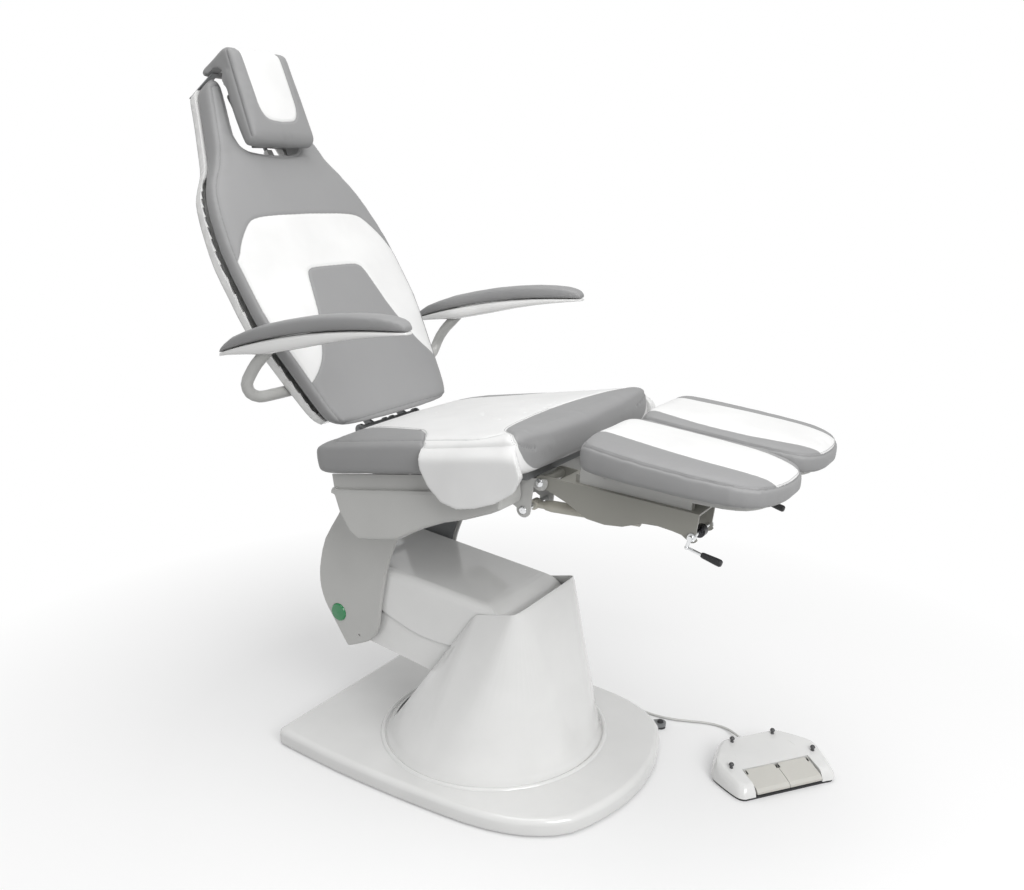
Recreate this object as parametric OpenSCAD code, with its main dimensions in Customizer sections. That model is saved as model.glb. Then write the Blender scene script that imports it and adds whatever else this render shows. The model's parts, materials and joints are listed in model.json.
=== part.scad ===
// Podiatry chair: moulded base and column, parallel lift arm, tilting seat,
// reclining back with headrest, folding armrests and two separate leg rests.
// Origin on the floor at the column axis, Z up, the sitter faces -Y.

/* [Base] */
// Half width of the base plate
base_half_w = 315; // [290:5:350]
// Base length behind the column axis
base_rear = 435; // [400:5:480]
// Base length in front of the column axis
base_front = 392; // [360:5:430]
// Height of the top of the base cover
base_top = 42; // [36:1:50]
// Radius of the rounded upper edge of the base cover
base_edge_r = 14; // [8:1:18]
// Thickness of the moulded covers
cover_wall = 4; // [3:0.5:5]
// Thickness of the steel base plate
plate_t = 8; // [6:1:10]

/* [Column] */
// Radius of the foot of the column cover
column_foot_r = 261; // [245:1:275]
// Height of the front rim of the column cover
column_top = 417; // [400:1:430]
// Half width of the column cover at its rim
column_rim_half_w = 136; // [135:1:145]

/* [Lift arm] */
// Distance between the front and rear pivots, along Y
arm_reach = 345; // [330:5:360]
// Rise of the rear pivot over the front pivot
arm_rise = 40; // [30:2:50]
// Height of the upper front pivot
arm_pivot_z = 330; // [322:1:338]
// Spacing of the upper and lower pivots
link_gap = 95; // [90:1:100]
// Half width of the upper arm cover
arm_cover_half_w = 130; // [128:1:131]

/* [Seat] */
// Width of the seat cushion
seat_w = 590; // [560:5:620]
// Depth of the seat cushion
seat_depth = 526; // [510:2:540]
// Thickness of the seat cushion at its seam
seat_thick = 84; // [70:2:95]
// Backward tilt of the seat at rest, in degrees
seat_tilt = 8.5; // [6:0.5:10]
// Depth of the cover under the seat
under_depth = 131; // [120:1:136]
// Half width of the cover under the seat
under_half_w = 262; // [250:2:270]

/* [Back] */
// Recline of the back from vertical at rest, in degrees
back_recline = 32; // [28:1:36]
// Length of the back up to the top of its horns
back_len = 918; // [880:2:940]
// Largest half width of the back
back_half_w = 277; // [260:1:285]
// Thickness of the back cushion
back_pad_t = 52; // [44:1:58]
// Depth of the moulded shell behind the back cushion
back_shell_t = 23.7; // [20:0.1:28]

/* [Headrest] */
// Half width of the headrest cushion
head_half_w = 104; // [96:1:112]

/* [Armrests] */
// Length of the armrest pad
pad_len = 512; // [480:4:530]
// Width of the armrest pad
pad_w = 62; // [54:1:66]
// Distance of the armrest centre line from the middle of the chair
pad_x = 340; // [335:1:350]
// Outer radius of the armrest tube
tube_r = 13; // [12:0.5:13.5]

/* [Leg rests] */
// Length of a leg cushion
leg_len = 374; // [350:2:400]
// Width of a leg cushion at its widest
leg_w = 262; // [250:1:264]
// Thickness of a leg cushion at its seam
leg_thick = 68; // [60:1:74]
// Width of the steel channel under a leg cushion
channel_w = 84; // [76:1:90]
// Radius of the gas spring cylinder
spring_r = 12; // [11:0.5:13]

/* [Foot control] */
// Width of the foot control
foot_w = 282; // [270:2:300]
// Depth of the foot control
foot_d = 184; // [176:2:192]
// Height of the foot control
foot_h = 48; // [44:1:52]
// Width of one pedal
pedal_w = 84; // [78:1:86]

/* [Hidden] */
$fn = 48;

// Overrun of every cut past the face that it opens
over = 1;
// Running clearance of a pin in its bore
fit = 0.05;
// Clearance between pieces that pass or seat on each other
clear = 0.3;
// Colours
gloss_white = [0.86, 0.87, 0.86];
warm_white = [0.80, 0.80, 0.77];
grey_leather = [0.60, 0.60, 0.60];
white_leather = [0.94, 0.94, 0.93];
steel = [0.62, 0.63, 0.65];
chrome = [0.82, 0.83, 0.85];
cream = [0.79, 0.77, 0.72];
dark = [0.13, 0.13, 0.14];
green = [0.05, 0.45, 0.20];

// Smooth curve through points, with a few steps between neighbours
function bend(a, b, c, d, t) =
    0.5 * (2 * b + (c - a) * t + (2 * a - 5 * b + 4 * c - d) * t * t + (3 * b - a - 3 * c + d) * t * t * t);
function smooth(p, n) = [for (i = [0 : len(p) - 2], k = [0 : n - 1])
    bend(p[max(i - 1, 0)], p[i], p[i + 1], p[min(i + 2, len(p) - 1)], k / n), p[len(p) - 1]];
function smooth_loop(p, n) = let (m = len(p)) [for (i = [0 : m - 1], k = [0 : n - 1])
    bend(p[(i + m - 1) % m], p[i], p[(i + 1) % m], p[(i + 2) % m], k / n)];
function mix(a, b, t) = a + (b - a) * t;
function flip(p) = [for (i = [len(p) - 1 : -1 : 0]) [-p[i][0], p[i][1]]];
function backwards(p) = [for (i = [len(p) - 1 : -1 : 0]) p[i]];
// Inward offset of an outline that runs anticlockwise
function edge_normal(p, i) = let (n = len(p), d = p[(i + 1) % n] - p[(i + n - 1) % n]) [-d[1], d[0]] / norm(d);
function inset(p, d) = [for (i = [0 : len(p) - 1]) p[i] + d * edge_normal(p, i)];
// How far a rounded end of radius r draws in at distance d from it
function draw_in(d, r) = d >= r ? 0 : r - sqrt(max(0, r * r - (r - d) * (r - d)));
// Arc of points about a centre
function arc(c, r, a0, a1, n) = [for (i = [0 : n]) c + r * [cos(mix(a0, a1, i / n)), sin(mix(a0, a1, i / n))]];
// Height of a table of [place, value] shares at a place
function table_at(t, x) = let (k = [for (i = [0 : len(t) - 2]) if (i == 0 || x >= t[i][0]) i], i = k[len(k) - 1])
    mix(t[i][1], t[i + 1][1], min(1, max(0, (x - t[i][0]) / (t[i + 1][0] - t[i][0]))));

// Closed skin over rings of equal length, with a fan at each end
module skin(rings) {
    n = len(rings[0]);
    m = len(rings);
    middle0 = [for (k = [0 : 2]) [for (p = rings[0]) p[k]] * [for (p = rings[0]) 1] / n];
    middle1 = [for (k = [0 : 2]) [for (p = rings[m - 1]) p[k]] * [for (p = rings[0]) 1] / n];
    points = concat([for (r = rings) each r], [middle0, middle1]);
    sides = [for (i = [0 : m - 2], j = [0 : n - 1], h = [0, 1]) let (a = i * n + j, b = i * n + (j + 1) % n)
        h == 0 ? [a, b, b + n] : [a, b + n, a + n]];
    cap0 = [for (j = [0 : n - 1]) [m * n, (j + 1) % n, j]];
    cap1 = [for (j = [0 : n - 1]) [m * n + 1, (m - 1) * n + j, (m - 1) * n + (j + 1) % n]];
    faces = concat(sides, cap0, cap1);
    parts = [for (f = faces) cross(points[f[0]] - middle0, points[f[1]] - middle0) * (points[f[2]] - middle0)];
    outward = parts * [for (p = parts) 1] < 0;
    polyhedron(points = points, faces = outward ? faces : [for (f = faces) backwards(f)]);
}
// Side profile, drawn as [y, z], extruded from x0 to x1
module side_plate(x0, x1, profile) {
    translate([x0, 0, 0])
        rotate([90, 0, 90])
            linear_extrude(x1 - x0)
                polygon(profile);
}
module rod_x(x0, x1, at, r) {
    translate([x0, at[0], at[1]])
        rotate([0, 90, 0])
            cylinder(h = x1 - x0, r = r);
}
module both() {
    children();
    mirror([1, 0, 0])
        children();
}
// Round bar between two points
module bar(a, b, r) {
    d = b - a;
    translate(a)
        rotate([0, acos(d[2] / norm(d)), atan2(d[1], d[0])])
            cylinder(h = norm(d), r = r);
}
// Capsule profile between two pivots, drawn as [y, z]
function capsule(a, b, ra, rb) = let (d = b - a, dir = atan2(d[1], d[0]), lean = asin((ra - rb) / norm(d)))
    concat(arc(b, rb, dir - 90 + lean, dir + 90 - lean, 12), arc(a, ra, dir + 90 - lean, dir + 270 + lean, 12));

// Base values
base_gap = 5;
base_step = 4;
// Half outline of the base, as shares of its half width and of its lengths
base_side_shares = [[0.90, 1], [0.922, 0.985], [0.935, 0.955], [0.962, 0.75], [0.988, 0.52], [1, 0.25],
    [1, 0], [0.985, -0.33], [0.93, -0.56], [0.84, -0.72], [0.69, -0.86], [0.42, -0.95], [0.2, -0.988], [0, -1]];
function base_shape(d) = let (half = smooth([for (p = base_side_shares)
    [p[0] * (base_half_w - d), p[1] * ((p[1] > 0 ? base_rear : base_front) - d)]], 2))
    backwards(concat(flip(half), [for (i = [0 : len(half) - 2]) half[i]]));
function base_ring(d, z) = [for (p = base_shape(d)) [p[0], p[1], z]];
lip_r = column_foot_r + 7;
lip_h = 6;
well_r = column_foot_r - 40;
foot_r = 22;
stud_r = 6;
foot_x = 230;
foot_rear_y = 370;
foot_front_y = -235;
lug_at = [272, -318];
lug_root = [215, -255];
lug_r = 14;
lug_head_r = 8;
lug_head_h = 5;
plate_low = base_gap + 1;
plate_top = plate_low + plate_t;
plate_inset = 22;
floor_holes = [[foot_x, foot_rear_y], [-foot_x, foot_rear_y], [foot_x, foot_front_y + foot_r], [-foot_x, foot_front_y + foot_r], lug_at];

// Column and lift pivots, drawn as [y, z]
arm_front = [-40, arm_pivot_z];
arm_back = arm_front + [arm_reach, arm_rise];
link_front = arm_front + [-10, -link_gap];
link_back = arm_back + [-10, -link_gap];
yoke_x = 108;
yoke_t = 6;
arm_plate_x = 94;
arm_plate_t = 8;
link_plate_x = 78;
link_plate_t = 6;
pivot_r = 12;
link_pin_r = 10;
cover_front_r = 88;
cover_back_r = 85;
carriage_x = arm_cover_half_w + 2;
carriage_t = 4.5;
cheek_t = 8;
rim_half_d = 59;
rim_y = -89;
rim_fall = 27;
slot_half_w = arm_cover_half_w + 3.5;
slot_low = 62;
motor_low = [-120, 85];
motor_high = [90, 300];
column_ring_n = 64;

// Seat values, in the frame of the tilted seat: s runs forward, t up
seat_at = [262, 684];
seat_under = 14;
seat_crown = 9;
seat_end_r = 24;
seat_dip = 20;
seat_horn = 16;
seat_rear_len = 95;
seat_rear_dip = 24;
rail_x = 120;
rail_w = 24;
rail_low = -8;
rail_high = seat_under - clear;
front_rail_s = seat_depth - 67;
front_rail_d = 21;
tilt_at = [215, 640];
recline_at = [298, 762];
flap_t = 14;
back_pin_r = 6;
// Side profile of the cover under the seat, as shares of the seat depth and of the cover depth
under_shares = [[0.014, -0.12], [0.023, -0.25], [0.038, -0.56], [0.075, -0.86], [0.118, -1], [0.2, -1],
    [0.33, -0.97], [0.40, -0.86], [0.47, -0.76], [0.575, -0.65], [0.68, -0.59], [0.80, -0.48], [0.845, -0.42],
    [0.857, -0.32], [0.86, -0.12]];
// Outline of the white side flap, as shares of the seat depth and of the seat thickness
flap_shares = [[0.58, 1.2], [0.575, 0.75], [0.58, 0.3], [0.605, -0.1], [0.655, -0.46], [0.72, -0.61], [0.80, -0.58],
    [0.89, -0.46], [0.975, -0.22], [1.01, 0.1], [1.0, 0.5], [0.995, 0.9], [0.99, 1.22]];

// Back values, in the frame of the reclined back: v runs up, e backwards
back_at = [249, 779];
back_crown = 14;
notch_share = 0.7723;
notch_low = back_len * notch_share;
// Half width of the back along its length, as shares of the largest half width and of the length
back_width_shares = [[0.015, 0.70], [0.03, 0.745], [0.065, 0.79], [0.13, 0.84], [0.22, 0.91], [0.32, 0.99],
    [0.42, 1], [0.5, 1], [0.57, 0.965], [0.63, 0.92], [0.68, 0.865], [0.72, 0.78], [0.76, 0.68], [0.80, 0.62],
    [0.85, 0.555], [0.90, 0.49], [0.95, 0.43], [0.985, 0.385], [1, 0.33]];
// Half width of the notch between the horns, as shares of the largest half width and of the length
notch_width_shares = [[0.772, 0], [0.774, 0.12], [0.782, 0.24], [0.80, 0.33], [0.83, 0.35], [0.88, 0.31], [0.93, 0.26],
    [0.985, 0.22], [1, 0.26]];
arm_axis = [408.7, 861.9];
arm_axis_r = 9;
head_rod_r = 5;
head_rod_x = 76;
head_rod_e = 84;

// Leg rest values, in the frame of the leg channel: r runs forward, h up
leg_at = seat_place([seat_depth - 30.1, -17.5]);
leg_drop = 3.77;
leg_mid = 134;
bracket_gap = 2;
bracket_t = 4;
bolt_r = 6;
dome_r = 9;
spring_at = seat_place([seat_depth - 77.1, -74.2]);
release_at = leg_at + [-320, -53];
channel_t = 4;
channel_top = 13.8;
channel_len = 332;
guide_h = 16;
guide_w = 10;
board_t = 12;
leg_pad_low = 61;
leg_pad_start = 110;
// Outer and inner edge of a leg cushion along its length, as shares of its width and its length
leg_outer_shares = [[0, 0.91], [0.02, 0.95], [0.06, 0.975], [0.16, 1], [0.3, 1.02], [0.56, 1.02], [0.72, 0.995],
    [0.80, 0.975], [0.87, 0.93], [0.93, 0.86], [0.975, 0.73], [1, 0.56]];
leg_inner_shares = [[0, 0.085], [0.02, 0.05], [0.06, 0.032], [0.16, 0.023], [0.3, 0.023], [0.56, 0.023], [0.72, 0.032],
    [0.80, 0.045], [0.87, 0.07], [0.93, 0.12], [0.975, 0.21], [1, 0.34]];

// Foot control values
foot_at = [231, -602.6];
foot_turn = -38.5;
foot_base_h = 6;
pedal_back = -38;
pedal_hinge_z = 33;

// Route of the foot control cord along the floor, in millimetres, and its radius
cord_r = 3;
cord_route = [[320, 390, 14], [345, 390, 13], [372, 389, 9], [400, 386, 5], [430, 376, 3], [458, 356, 3],
    [478, 328, 3], [488, 295, 3], [487, 260, 3], [477, 226, 3], [461, 192, 3], [442, 158, 3], [421, 122, 3],
    [401, 84, 3], [384, 44, 3], [370, 2, 3], [358, -42, 3], [348, -84, 3], [340, -126, 3], [330, -170, 3],
    [321, -212, 3], [314, -252, 3], [312, -292, 3], [318, -332, 3], [331, -370, 3], [344, -404, 3],
    [350, -436, 3], [344, -466, 5], [329, -487, 9], [313, -503, 14], [299.5, -516.4, 16]];

module base_cover() {
    color(gloss_white)
        difference() {
            union() {
                skin(concat([base_ring(1, base_gap), base_ring(0, base_gap + base_step)],
                    [for (a = [0 : 22.5 : 90]) base_ring(base_edge_r * (1 - cos(a)),
                        base_top - base_edge_r * (1 - sin(a)))]));
                rotate_extrude($fn = 96)
                    polygon(concat([[well_r, base_top - cover_wall], [well_r, base_top],
                        [column_foot_r + 1, base_top]],
                        backwards(arc([lip_r, base_top - 1], lip_h, 0, 180, 8)),
                        [[lip_r + lip_h, base_top - cover_wall]]));
            }
            translate([0, 0, base_gap - over])
                linear_extrude(base_top - cover_wall - base_gap + over)
                    polygon(base_shape(base_edge_r));
            translate([0, 0, base_gap - over])
                cylinder(h = base_top, r = well_r, $fn = 96);
            translate([lug_at[0], lug_at[1], base_gap - over])
                rotate([0, 0, atan2(lug_root[1] - lug_at[1], lug_root[0] - lug_at[0])])
                    translate([0, -lug_r - 1, 0])
                        cube([norm(lug_root - lug_at), 2 * (lug_r + 1), plate_top - base_gap + over + 1]);
            translate([base_half_w - base_edge_r * 3, cord_route[0][1], cord_route[0][2]])
                rotate([0, 90, 0])
                    cylinder(h = base_edge_r * 4, r = gland_r);
        }
}

// Cord gland values
gland_r = 7;
gland_len = 21;

module cord_gland() {
    color(dark)
        difference() {
            translate([cord_route[0][0] - clear, cord_route[0][1], cord_route[0][2]])
                rotate([0, -90, 0])
                    rotate_extrude()
                        polygon([[0, 0], [cord_r + 1, 0], [gland_r - 1, gland_len * 0.35], [gland_r - clear, gland_len * 0.4],
                            [gland_r - clear, gland_len * 2], [0, gland_len * 2]]);
            translate([cord_route[0][0] - gland_len * 2 - over, cord_route[0][1], cord_route[0][2]])
                rotate([0, 90, 0])
                    cylinder(h = gland_len, r = cord_r);
        }
}

module base_frame() {
    color(steel)
        difference() {
            union() {
                translate([0, 0, plate_low])
                    linear_extrude(plate_t)
                        polygon(base_shape(plate_inset));
                translate([lug_at[0], lug_at[1], plate_low])
                    cylinder(h = plate_t, r = lug_r);
                translate([lug_at[0], lug_at[1], plate_low])
                    rotate([0, 0, atan2(lug_root[1] - lug_at[1], lug_root[0] - lug_at[0])])
                        translate([0, -lug_r, 0])
                            cube([norm(lug_root - lug_at), 2 * lug_r, plate_t]);
                both()
                    translate([foot_x - plate_t, foot_front_y + foot_r * 3, plate_top - over])
                        cube([plate_t, foot_rear_y - foot_front_y - foot_r * 4, base_top - cover_wall * 2 - plate_top + over]);
            }
            for (p = floor_holes)
                translate([p[0], p[1], 0])
                    cylinder(h = base_top, r = stud_r + fit);
        }
}

module levelling_feet() {
    color(dark)
        for (i = [0 : len(floor_holes) - 1])
            translate([floor_holes[i][0], floor_holes[i][1], 0]) {
                r = i == len(floor_holes) - 1 ? lug_r - 1 : foot_r;
                cylinder(h = base_gap - 1, r1 = r, r2 = r - 2);
                cylinder(h = plate_low, r = stud_r * 1.6);
                cylinder(h = plate_top + lug_head_h, r = stud_r);
                translate([0, 0, plate_top])
                    cylinder(h = lug_head_h, r1 = lug_head_r, r2 = lug_head_r - 2);
            }
}

module column_frame() {
    yoke = concat([[-150, plate_top], [40, plate_top]],
        arc(arm_front, 42, -18, 190, 16), [[-98, 235]]);
    color(steel) {
        both()
            side_plate(yoke_x, yoke_x + yoke_t, yoke);
        both()
            translate([yoke_x - 40, -150, plate_top])
                cube([42, 190, yoke_t]);
        rod_x(-yoke_x - yoke_t - 4, yoke_x + yoke_t + 4, arm_front, pivot_r);
        rod_x(-yoke_x - yoke_t - 4, yoke_x + yoke_t + 4, link_front, link_pin_r);
        rod_x(-yoke_x - 1, yoke_x + 1, [-98, 185], 12);
        rod_x(-yoke_x - 1, yoke_x + 1, motor_low, 8);
    }
}

// Ring of the column cover: a circle at the foot that blends into a rounded rectangle at the rim
function column_ring(t, flare, wall, rise) = [for (i = [0 : column_ring_n - 1])
    let (a = 360 * i / column_ring_n, c = cos(a), s = sin(a),
        foot = (column_foot_r - wall + flare) * [c, s],
        rim = [(column_rim_half_w - wall) * sign(c) * pow(abs(c), 0.18),
            rim_y + (rim_half_d - wall) * sign(s) * pow(abs(s), 0.18)],
        p = mix(foot, rim, t),
        top = column_top - rim_fall * (rim[1] - rim_y + rim_half_d) / (2 * rim_half_d))
    [p[0], p[1], mix(base_top + clear, top, t) + rise]];

module column_cover() {
    color(gloss_white)
        difference() {
            skin([column_ring(0, 0, 0, 0), column_ring(0.02, -2, 0, 0), column_ring(0.05, -4, 0, 0),
                column_ring(0.3, -5, 0, 0), column_ring(0.65, -4, 0, 0), column_ring(0.97, 0, 0, 0),
                column_ring(1, 0, 1.5, 0)]);
            skin([column_ring(0, 0, cover_wall + 4, -over), column_ring(0.3, -3, cover_wall, 0),
                column_ring(0.65, -2, cover_wall, 0), column_ring(1, 0, cover_wall, over)]);
            translate([-slot_half_w, rim_y, slot_low])
                cube([2 * slot_half_w, column_foot_r * 2, column_top]);
        }
}

module foot_pose() {
    translate([foot_at[0], foot_at[1], 0])
        rotate([0, 0, foot_turn])
            children();
}
// Half outline of the foot control, as shares of its half width and half depth
foot_side_shares = [[0, 1], [0.3, 1], [0.52, 0.98], [0.64, 0.86], [0.83, 0.5], [0.97, 0.18], [1, -0.02], [0.98, -0.3],
    [0.93, -0.72], [0.88, -0.92], [0.80, -1], [0.70, -0.99]];
function foot_shape(d) = let (half = smooth([for (p = foot_side_shares)
    [p[0] * (foot_w / 2 - d), p[1] * (foot_d / 2 - d)]], 2))
    backwards(concat(half, [for (i = [1 : len(half) - 1]) flip(half)[i]]));
function foot_top(y) = mix(foot_h * 0.62, foot_h, min(1, max(0, (y + foot_d / 2) / (foot_d * 0.62))));
function foot_ring(d, share) = [for (p = foot_shape(d)) [p[0], p[1], mix(foot_base_h + clear, foot_top(p[1]), share)]];
button_places = [[55, 64], [-55, 64], [108, -20], [-108, -20]];
button_r = 4;
button_cap_r = 6;
button_h = 13;
button_travel = 2.5;
cord_end = cord_route[len(cord_route) - 1];
relief_len = 28;

module foot_housing() {
    color(gloss_white)
        foot_pose()
            difference() {
                union() {
                    skin([foot_ring(0, 0), foot_ring(1, 0.3), foot_ring(7, 0.72), foot_ring(12, 0.92), foot_ring(19, 1)]);
                    translate([0, foot_d / 2 - over * 4, cord_end[2]])
                        rotate([-90, 0, 0])
                            cylinder(h = relief_len, r1 = 7.5, r2 = 6.4);
                }
                translate([0, norm([cord_end[0], cord_end[1]] - [foot_at[0], foot_at[1]]) - 3 * clear, cord_end[2]])
                    rotate([-90, 0, 0])
                        cylinder(h = relief_len, r = cord_r * 1.65);
                translate([-pedal_w - 3, -foot_d, foot_base_h - over])
                    cube([2 * pedal_w + 6, foot_d + pedal_back, foot_h * 2]);
                translate([-pedal_w - 3, pedal_back - over, foot_base_h - over])
                    cube([2 * pedal_w + 6, 9, pedal_hinge_z - foot_base_h + 7.5]);
                for (p = button_places)
                    translate([p[0], p[1], foot_base_h - over])
                        cylinder(h = foot_h * 2, r = button_r + clear);
                translate([0, 8, foot_top(8) - 1.2])
                    rotate([5, 0, 0])
                        linear_extrude(foot_h)
                            polygon([[-84, -32], [84, -32], [72, 34], [-72, 34]]);
            }
}

module foot_base() {
    color(dark)
        foot_pose()
            difference() {
                union() {
                    linear_extrude(foot_base_h)
                        polygon(foot_shape(3));
                    both()
                        for (x = [1, pedal_w - 6])
                            translate([x, pedal_back - 4, foot_base_h - over])
                                cube([4, 8, pedal_hinge_z - foot_base_h + over]);
                    rod_x(-pedal_w + 1, pedal_w - 1, [pedal_back, pedal_hinge_z], 2);
                }
            }
}

module pedal() {
    color(warm_white)
        difference() {
            side_plate(clear * 2, pedal_w, [[pedal_back + 5, pedal_hinge_z - 4], [pedal_back + 5, pedal_hinge_z + 4],
                [-foot_d / 2 + 6, 23], [-foot_d / 2 - 1, 17], [-foot_d / 2 - 1, 12], [-foot_d / 2 + 8, 12],
                [pedal_back - 3, pedal_hinge_z - 6]]);
            rod_x(-over, pedal_w + over, [pedal_back, pedal_hinge_z], 2 + fit);
            for (x = [1, pedal_w - 6])
                translate([x - clear, pedal_back - 8, foot_base_h])
                    cube([4 + 2 * clear, 16, foot_h]);
        }
}

module pedal_left() {
    foot_pose()
        pedal();
}

module pedal_right() {
    foot_pose()
        mirror([1, 0, 0])
            pedal();
}

module push_button(place) {
    low = foot_base_h + button_travel + 1;
    top = foot_top(place[1]) + button_h;
    color(chrome)
        foot_pose()
            translate([place[0], place[1], 0]) {
                translate([0, 0, low])
                    cylinder(h = top - button_cap_r - low, r = button_r);
                translate([0, 0, top - button_cap_r - 3])
                    cylinder(h = 3, r1 = button_r, r2 = button_cap_r);
                translate([0, 0, top - button_cap_r])
                    difference() {
                        sphere(r = button_cap_r);
                        translate([-foot_h, -foot_h, -2 * foot_h])
                            cube(2 * foot_h);
                    }
            }
}

module button_back_left() {
    push_button(button_places[0]);
}

module button_back_right() {
    push_button(button_places[1]);
}

module button_side_left() {
    push_button(button_places[2]);
}

module button_side_right() {
    push_button(button_places[3]);
}

// Rings of a round cord about its route, square to it
cord_sides = 8;
cord_path = smooth(cord_route, 2);
function cord_dir(p, i) = let (d = p[min(i + 1, len(p) - 1)] - p[max(i - 1, 0)]) d / norm(d);
function tube_ring(p, i, r, up, n) = let (d = cord_dir(p, i), a = cross(d, up) / norm(cross(d, up)), b = cross(d, a))
    [for (k = [0 : n - 1]) p[i] + r * (a * cos(360 * k / n) + b * sin(360 * k / n))];

module foot_cord() {
    color(warm_white)
        skin(backwards([for (i = [0 : len(cord_path) - 1]) tube_ring(cord_path, i, cord_r, [0, 0, 1], cord_sides)]));
}

// Spindle drive: a cylinder with its motor, and the rod that runs out of it
module spindle_motor(a, b, len_share, r, case_side, case_share) {
    d = b - a;
    turn = atan2(d[1], d[0]);
    color(dark)
        translate([0, a[0], a[1]])
            rotate([turn, 0, 0])
                difference() {
                    union() {
                        rod_x(-13, 13, [0, 0], r * 0.8);
                        rotate([-90, 0, 0])
                            cylinder(h = norm(d) * len_share, r = r);
                        translate([0, r * 1.1, case_side * r * 1.4])
                            rotate([-90, 0, 0])
                                cylinder(h = norm(d) * len_share * case_share, r = r * 0.9);
                    }
                    rotate([-90, 0, 0])
                        translate([0, 0, r * 1.1])
                            cylinder(h = norm(d), r = spindle_r + fit);
                    rod_x(-r - over, r + over, [0, 0], spindle_r + fit);
                }
}
spindle_r = 8;
module spindle_rod(a, b, start_share, pin_r, pin_half) {
    d = b - a;
    turn = atan2(d[1], d[0]);
    color(chrome)
        translate([0, a[0], a[1]])
            rotate([turn, 0, 0])
                union() {
                    translate([0, norm(d) * start_share, 0])
                        rotate([-90, 0, 0])
                            cylinder(h = norm(d) * (1 - start_share), r = spindle_r);
                    rod_x(-pin_half + 1.5, pin_half - 1.5, [norm(d), 0], pin_r + 6);
                    rod_x(-pin_half + clear, pin_half - clear, [norm(d), 0], pin_r);
                }
}

module lift_motor() {
    spindle_motor(motor_low, motor_high, 0.62, 22, -1, 0.55);
}

module lift_rod() {
    spindle_rod(motor_low, motor_high, 0.4, 7, 14);
}

module arm_frame() {
    color(steel)
        difference() {
            union() {
                both() {
                    side_plate(arm_plate_x, arm_plate_x + arm_plate_t, capsule(arm_front, arm_back, 26, 24));
                    rod_x(arm_plate_x - 8, arm_plate_x + arm_plate_t + 4, arm_front, 20);
                    rod_x(arm_plate_x - 8, carriage_x - clear, arm_back, 18);
                    rod_x(arm_plate_x + 1, arm_cover_half_w - cover_wall, mix(arm_front, arm_back, 0.55) + [0, 22], 8);
                }
                rod_x(-arm_plate_x - 1, arm_plate_x + 1, mix(arm_front, arm_back, 0.7), 14);
                rod_x(-arm_plate_x - 1, arm_plate_x + 1, mix(arm_front, arm_back, 0.3) + [0, 4], 10);
                for (x = [-20, 14])
                    side_plate(x, x + 6, capsule(motor_high, mix(arm_front, arm_back, 0.3) + [0, 4], 13, 15));
                both()
                    rod_x(19, 24, motor_high, 7);
            }
            rod_x(-carriage_x, carriage_x, arm_front, pivot_r + fit);
            rod_x(-carriage_x, carriage_x, arm_back, pivot_r + fit);
        }
}

// Lower edge of the upper arm cover, as [y, z]: the curved seam between both covers
seam_line = smooth([arm_back + [cover_back_r * 0.55, 16], [300, 366], [237, 339], [190, 322], [134, 304],
    [79, 298], [20, 298], arm_front + [-cover_front_r * 0.6, -32]], 3);
function arm_cover_profile(d) = let (rise = atan2(arm_rise, arm_reach))
    concat(arc(arm_back, cover_back_r - d, 10, 90 + rise, 10), arc(arm_front, cover_front_r - d, 90 + rise, 205, 12),
        backwards(seam_line));

module arm_cross_section(half_w, r, len) {
    turn = atan2(arm_rise, arm_reach);
    translate([0, arm_front[0], arm_front[1]])
        rotate([turn, 0, 0])
            translate([0, -len / 2, 0])
                rotate([-90, 0, 0])
                    linear_extrude(len * 1.5)
                        polygon(concat([[half_w, 0], [half_w, len]], [[-half_w, len], [-half_w, 0]],
                            arc([-half_w + r, -cover_front_r + r], r, 180, 270, 6),
                            arc([half_w - r, -cover_front_r + r], r, 270, 360, 6)));
}

module arm_upper_cover() {
    color(gloss_white)
        difference() {
            intersection() {
                side_plate(-arm_cover_half_w, arm_cover_half_w, arm_cover_profile(0));
                arm_cross_section(arm_cover_half_w, 24, 520);
            }
            side_plate(-arm_cover_half_w + cover_wall, arm_cover_half_w - cover_wall,
                concat(arc(arm_back, cover_back_r - cover_wall, 5, 90 + atan2(arm_rise, arm_reach), 10),
                    arc(arm_front, cover_front_r - cover_wall, 90 + atan2(arm_rise, arm_reach), 212, 12),
                    [for (p = backwards(seam_line)) p - [0, 12]]));
            rod_x(-carriage_x, carriage_x, arm_back, 22);
        }
}

module link_frame() {
    color(steel)
        difference() {
            union() {
                both() {
                    side_plate(link_plate_x, link_plate_x + link_plate_t, capsule(link_front, link_back, 18, 18));
                    rod_x(link_plate_x - 3, link_plate_x + link_plate_t + 4, link_front, 15);
                    rod_x(link_plate_x - 3, carriage_x - clear, link_back, 15);
                    for (share = [0.55, 0.8])
                        rod_x(link_plate_x + 1, lower_half_w - cover_wall, mix(link_front, link_back, share), 8);
                }
                rod_x(-link_plate_x - 1, link_plate_x + 1, mix(link_front, link_back, 0.82), 10);
            }
            rod_x(-carriage_x, carriage_x, link_front, link_pin_r + fit);
            rod_x(-carriage_x, carriage_x, link_back, link_pin_r + fit);
        }
}
lower_half_w = arm_cover_half_w - cover_wall - 2;
lower_front = [20, 204.8];
lower_floor_y = 78;
lower_back_z = 328;
lower_back_r = 27;

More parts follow.
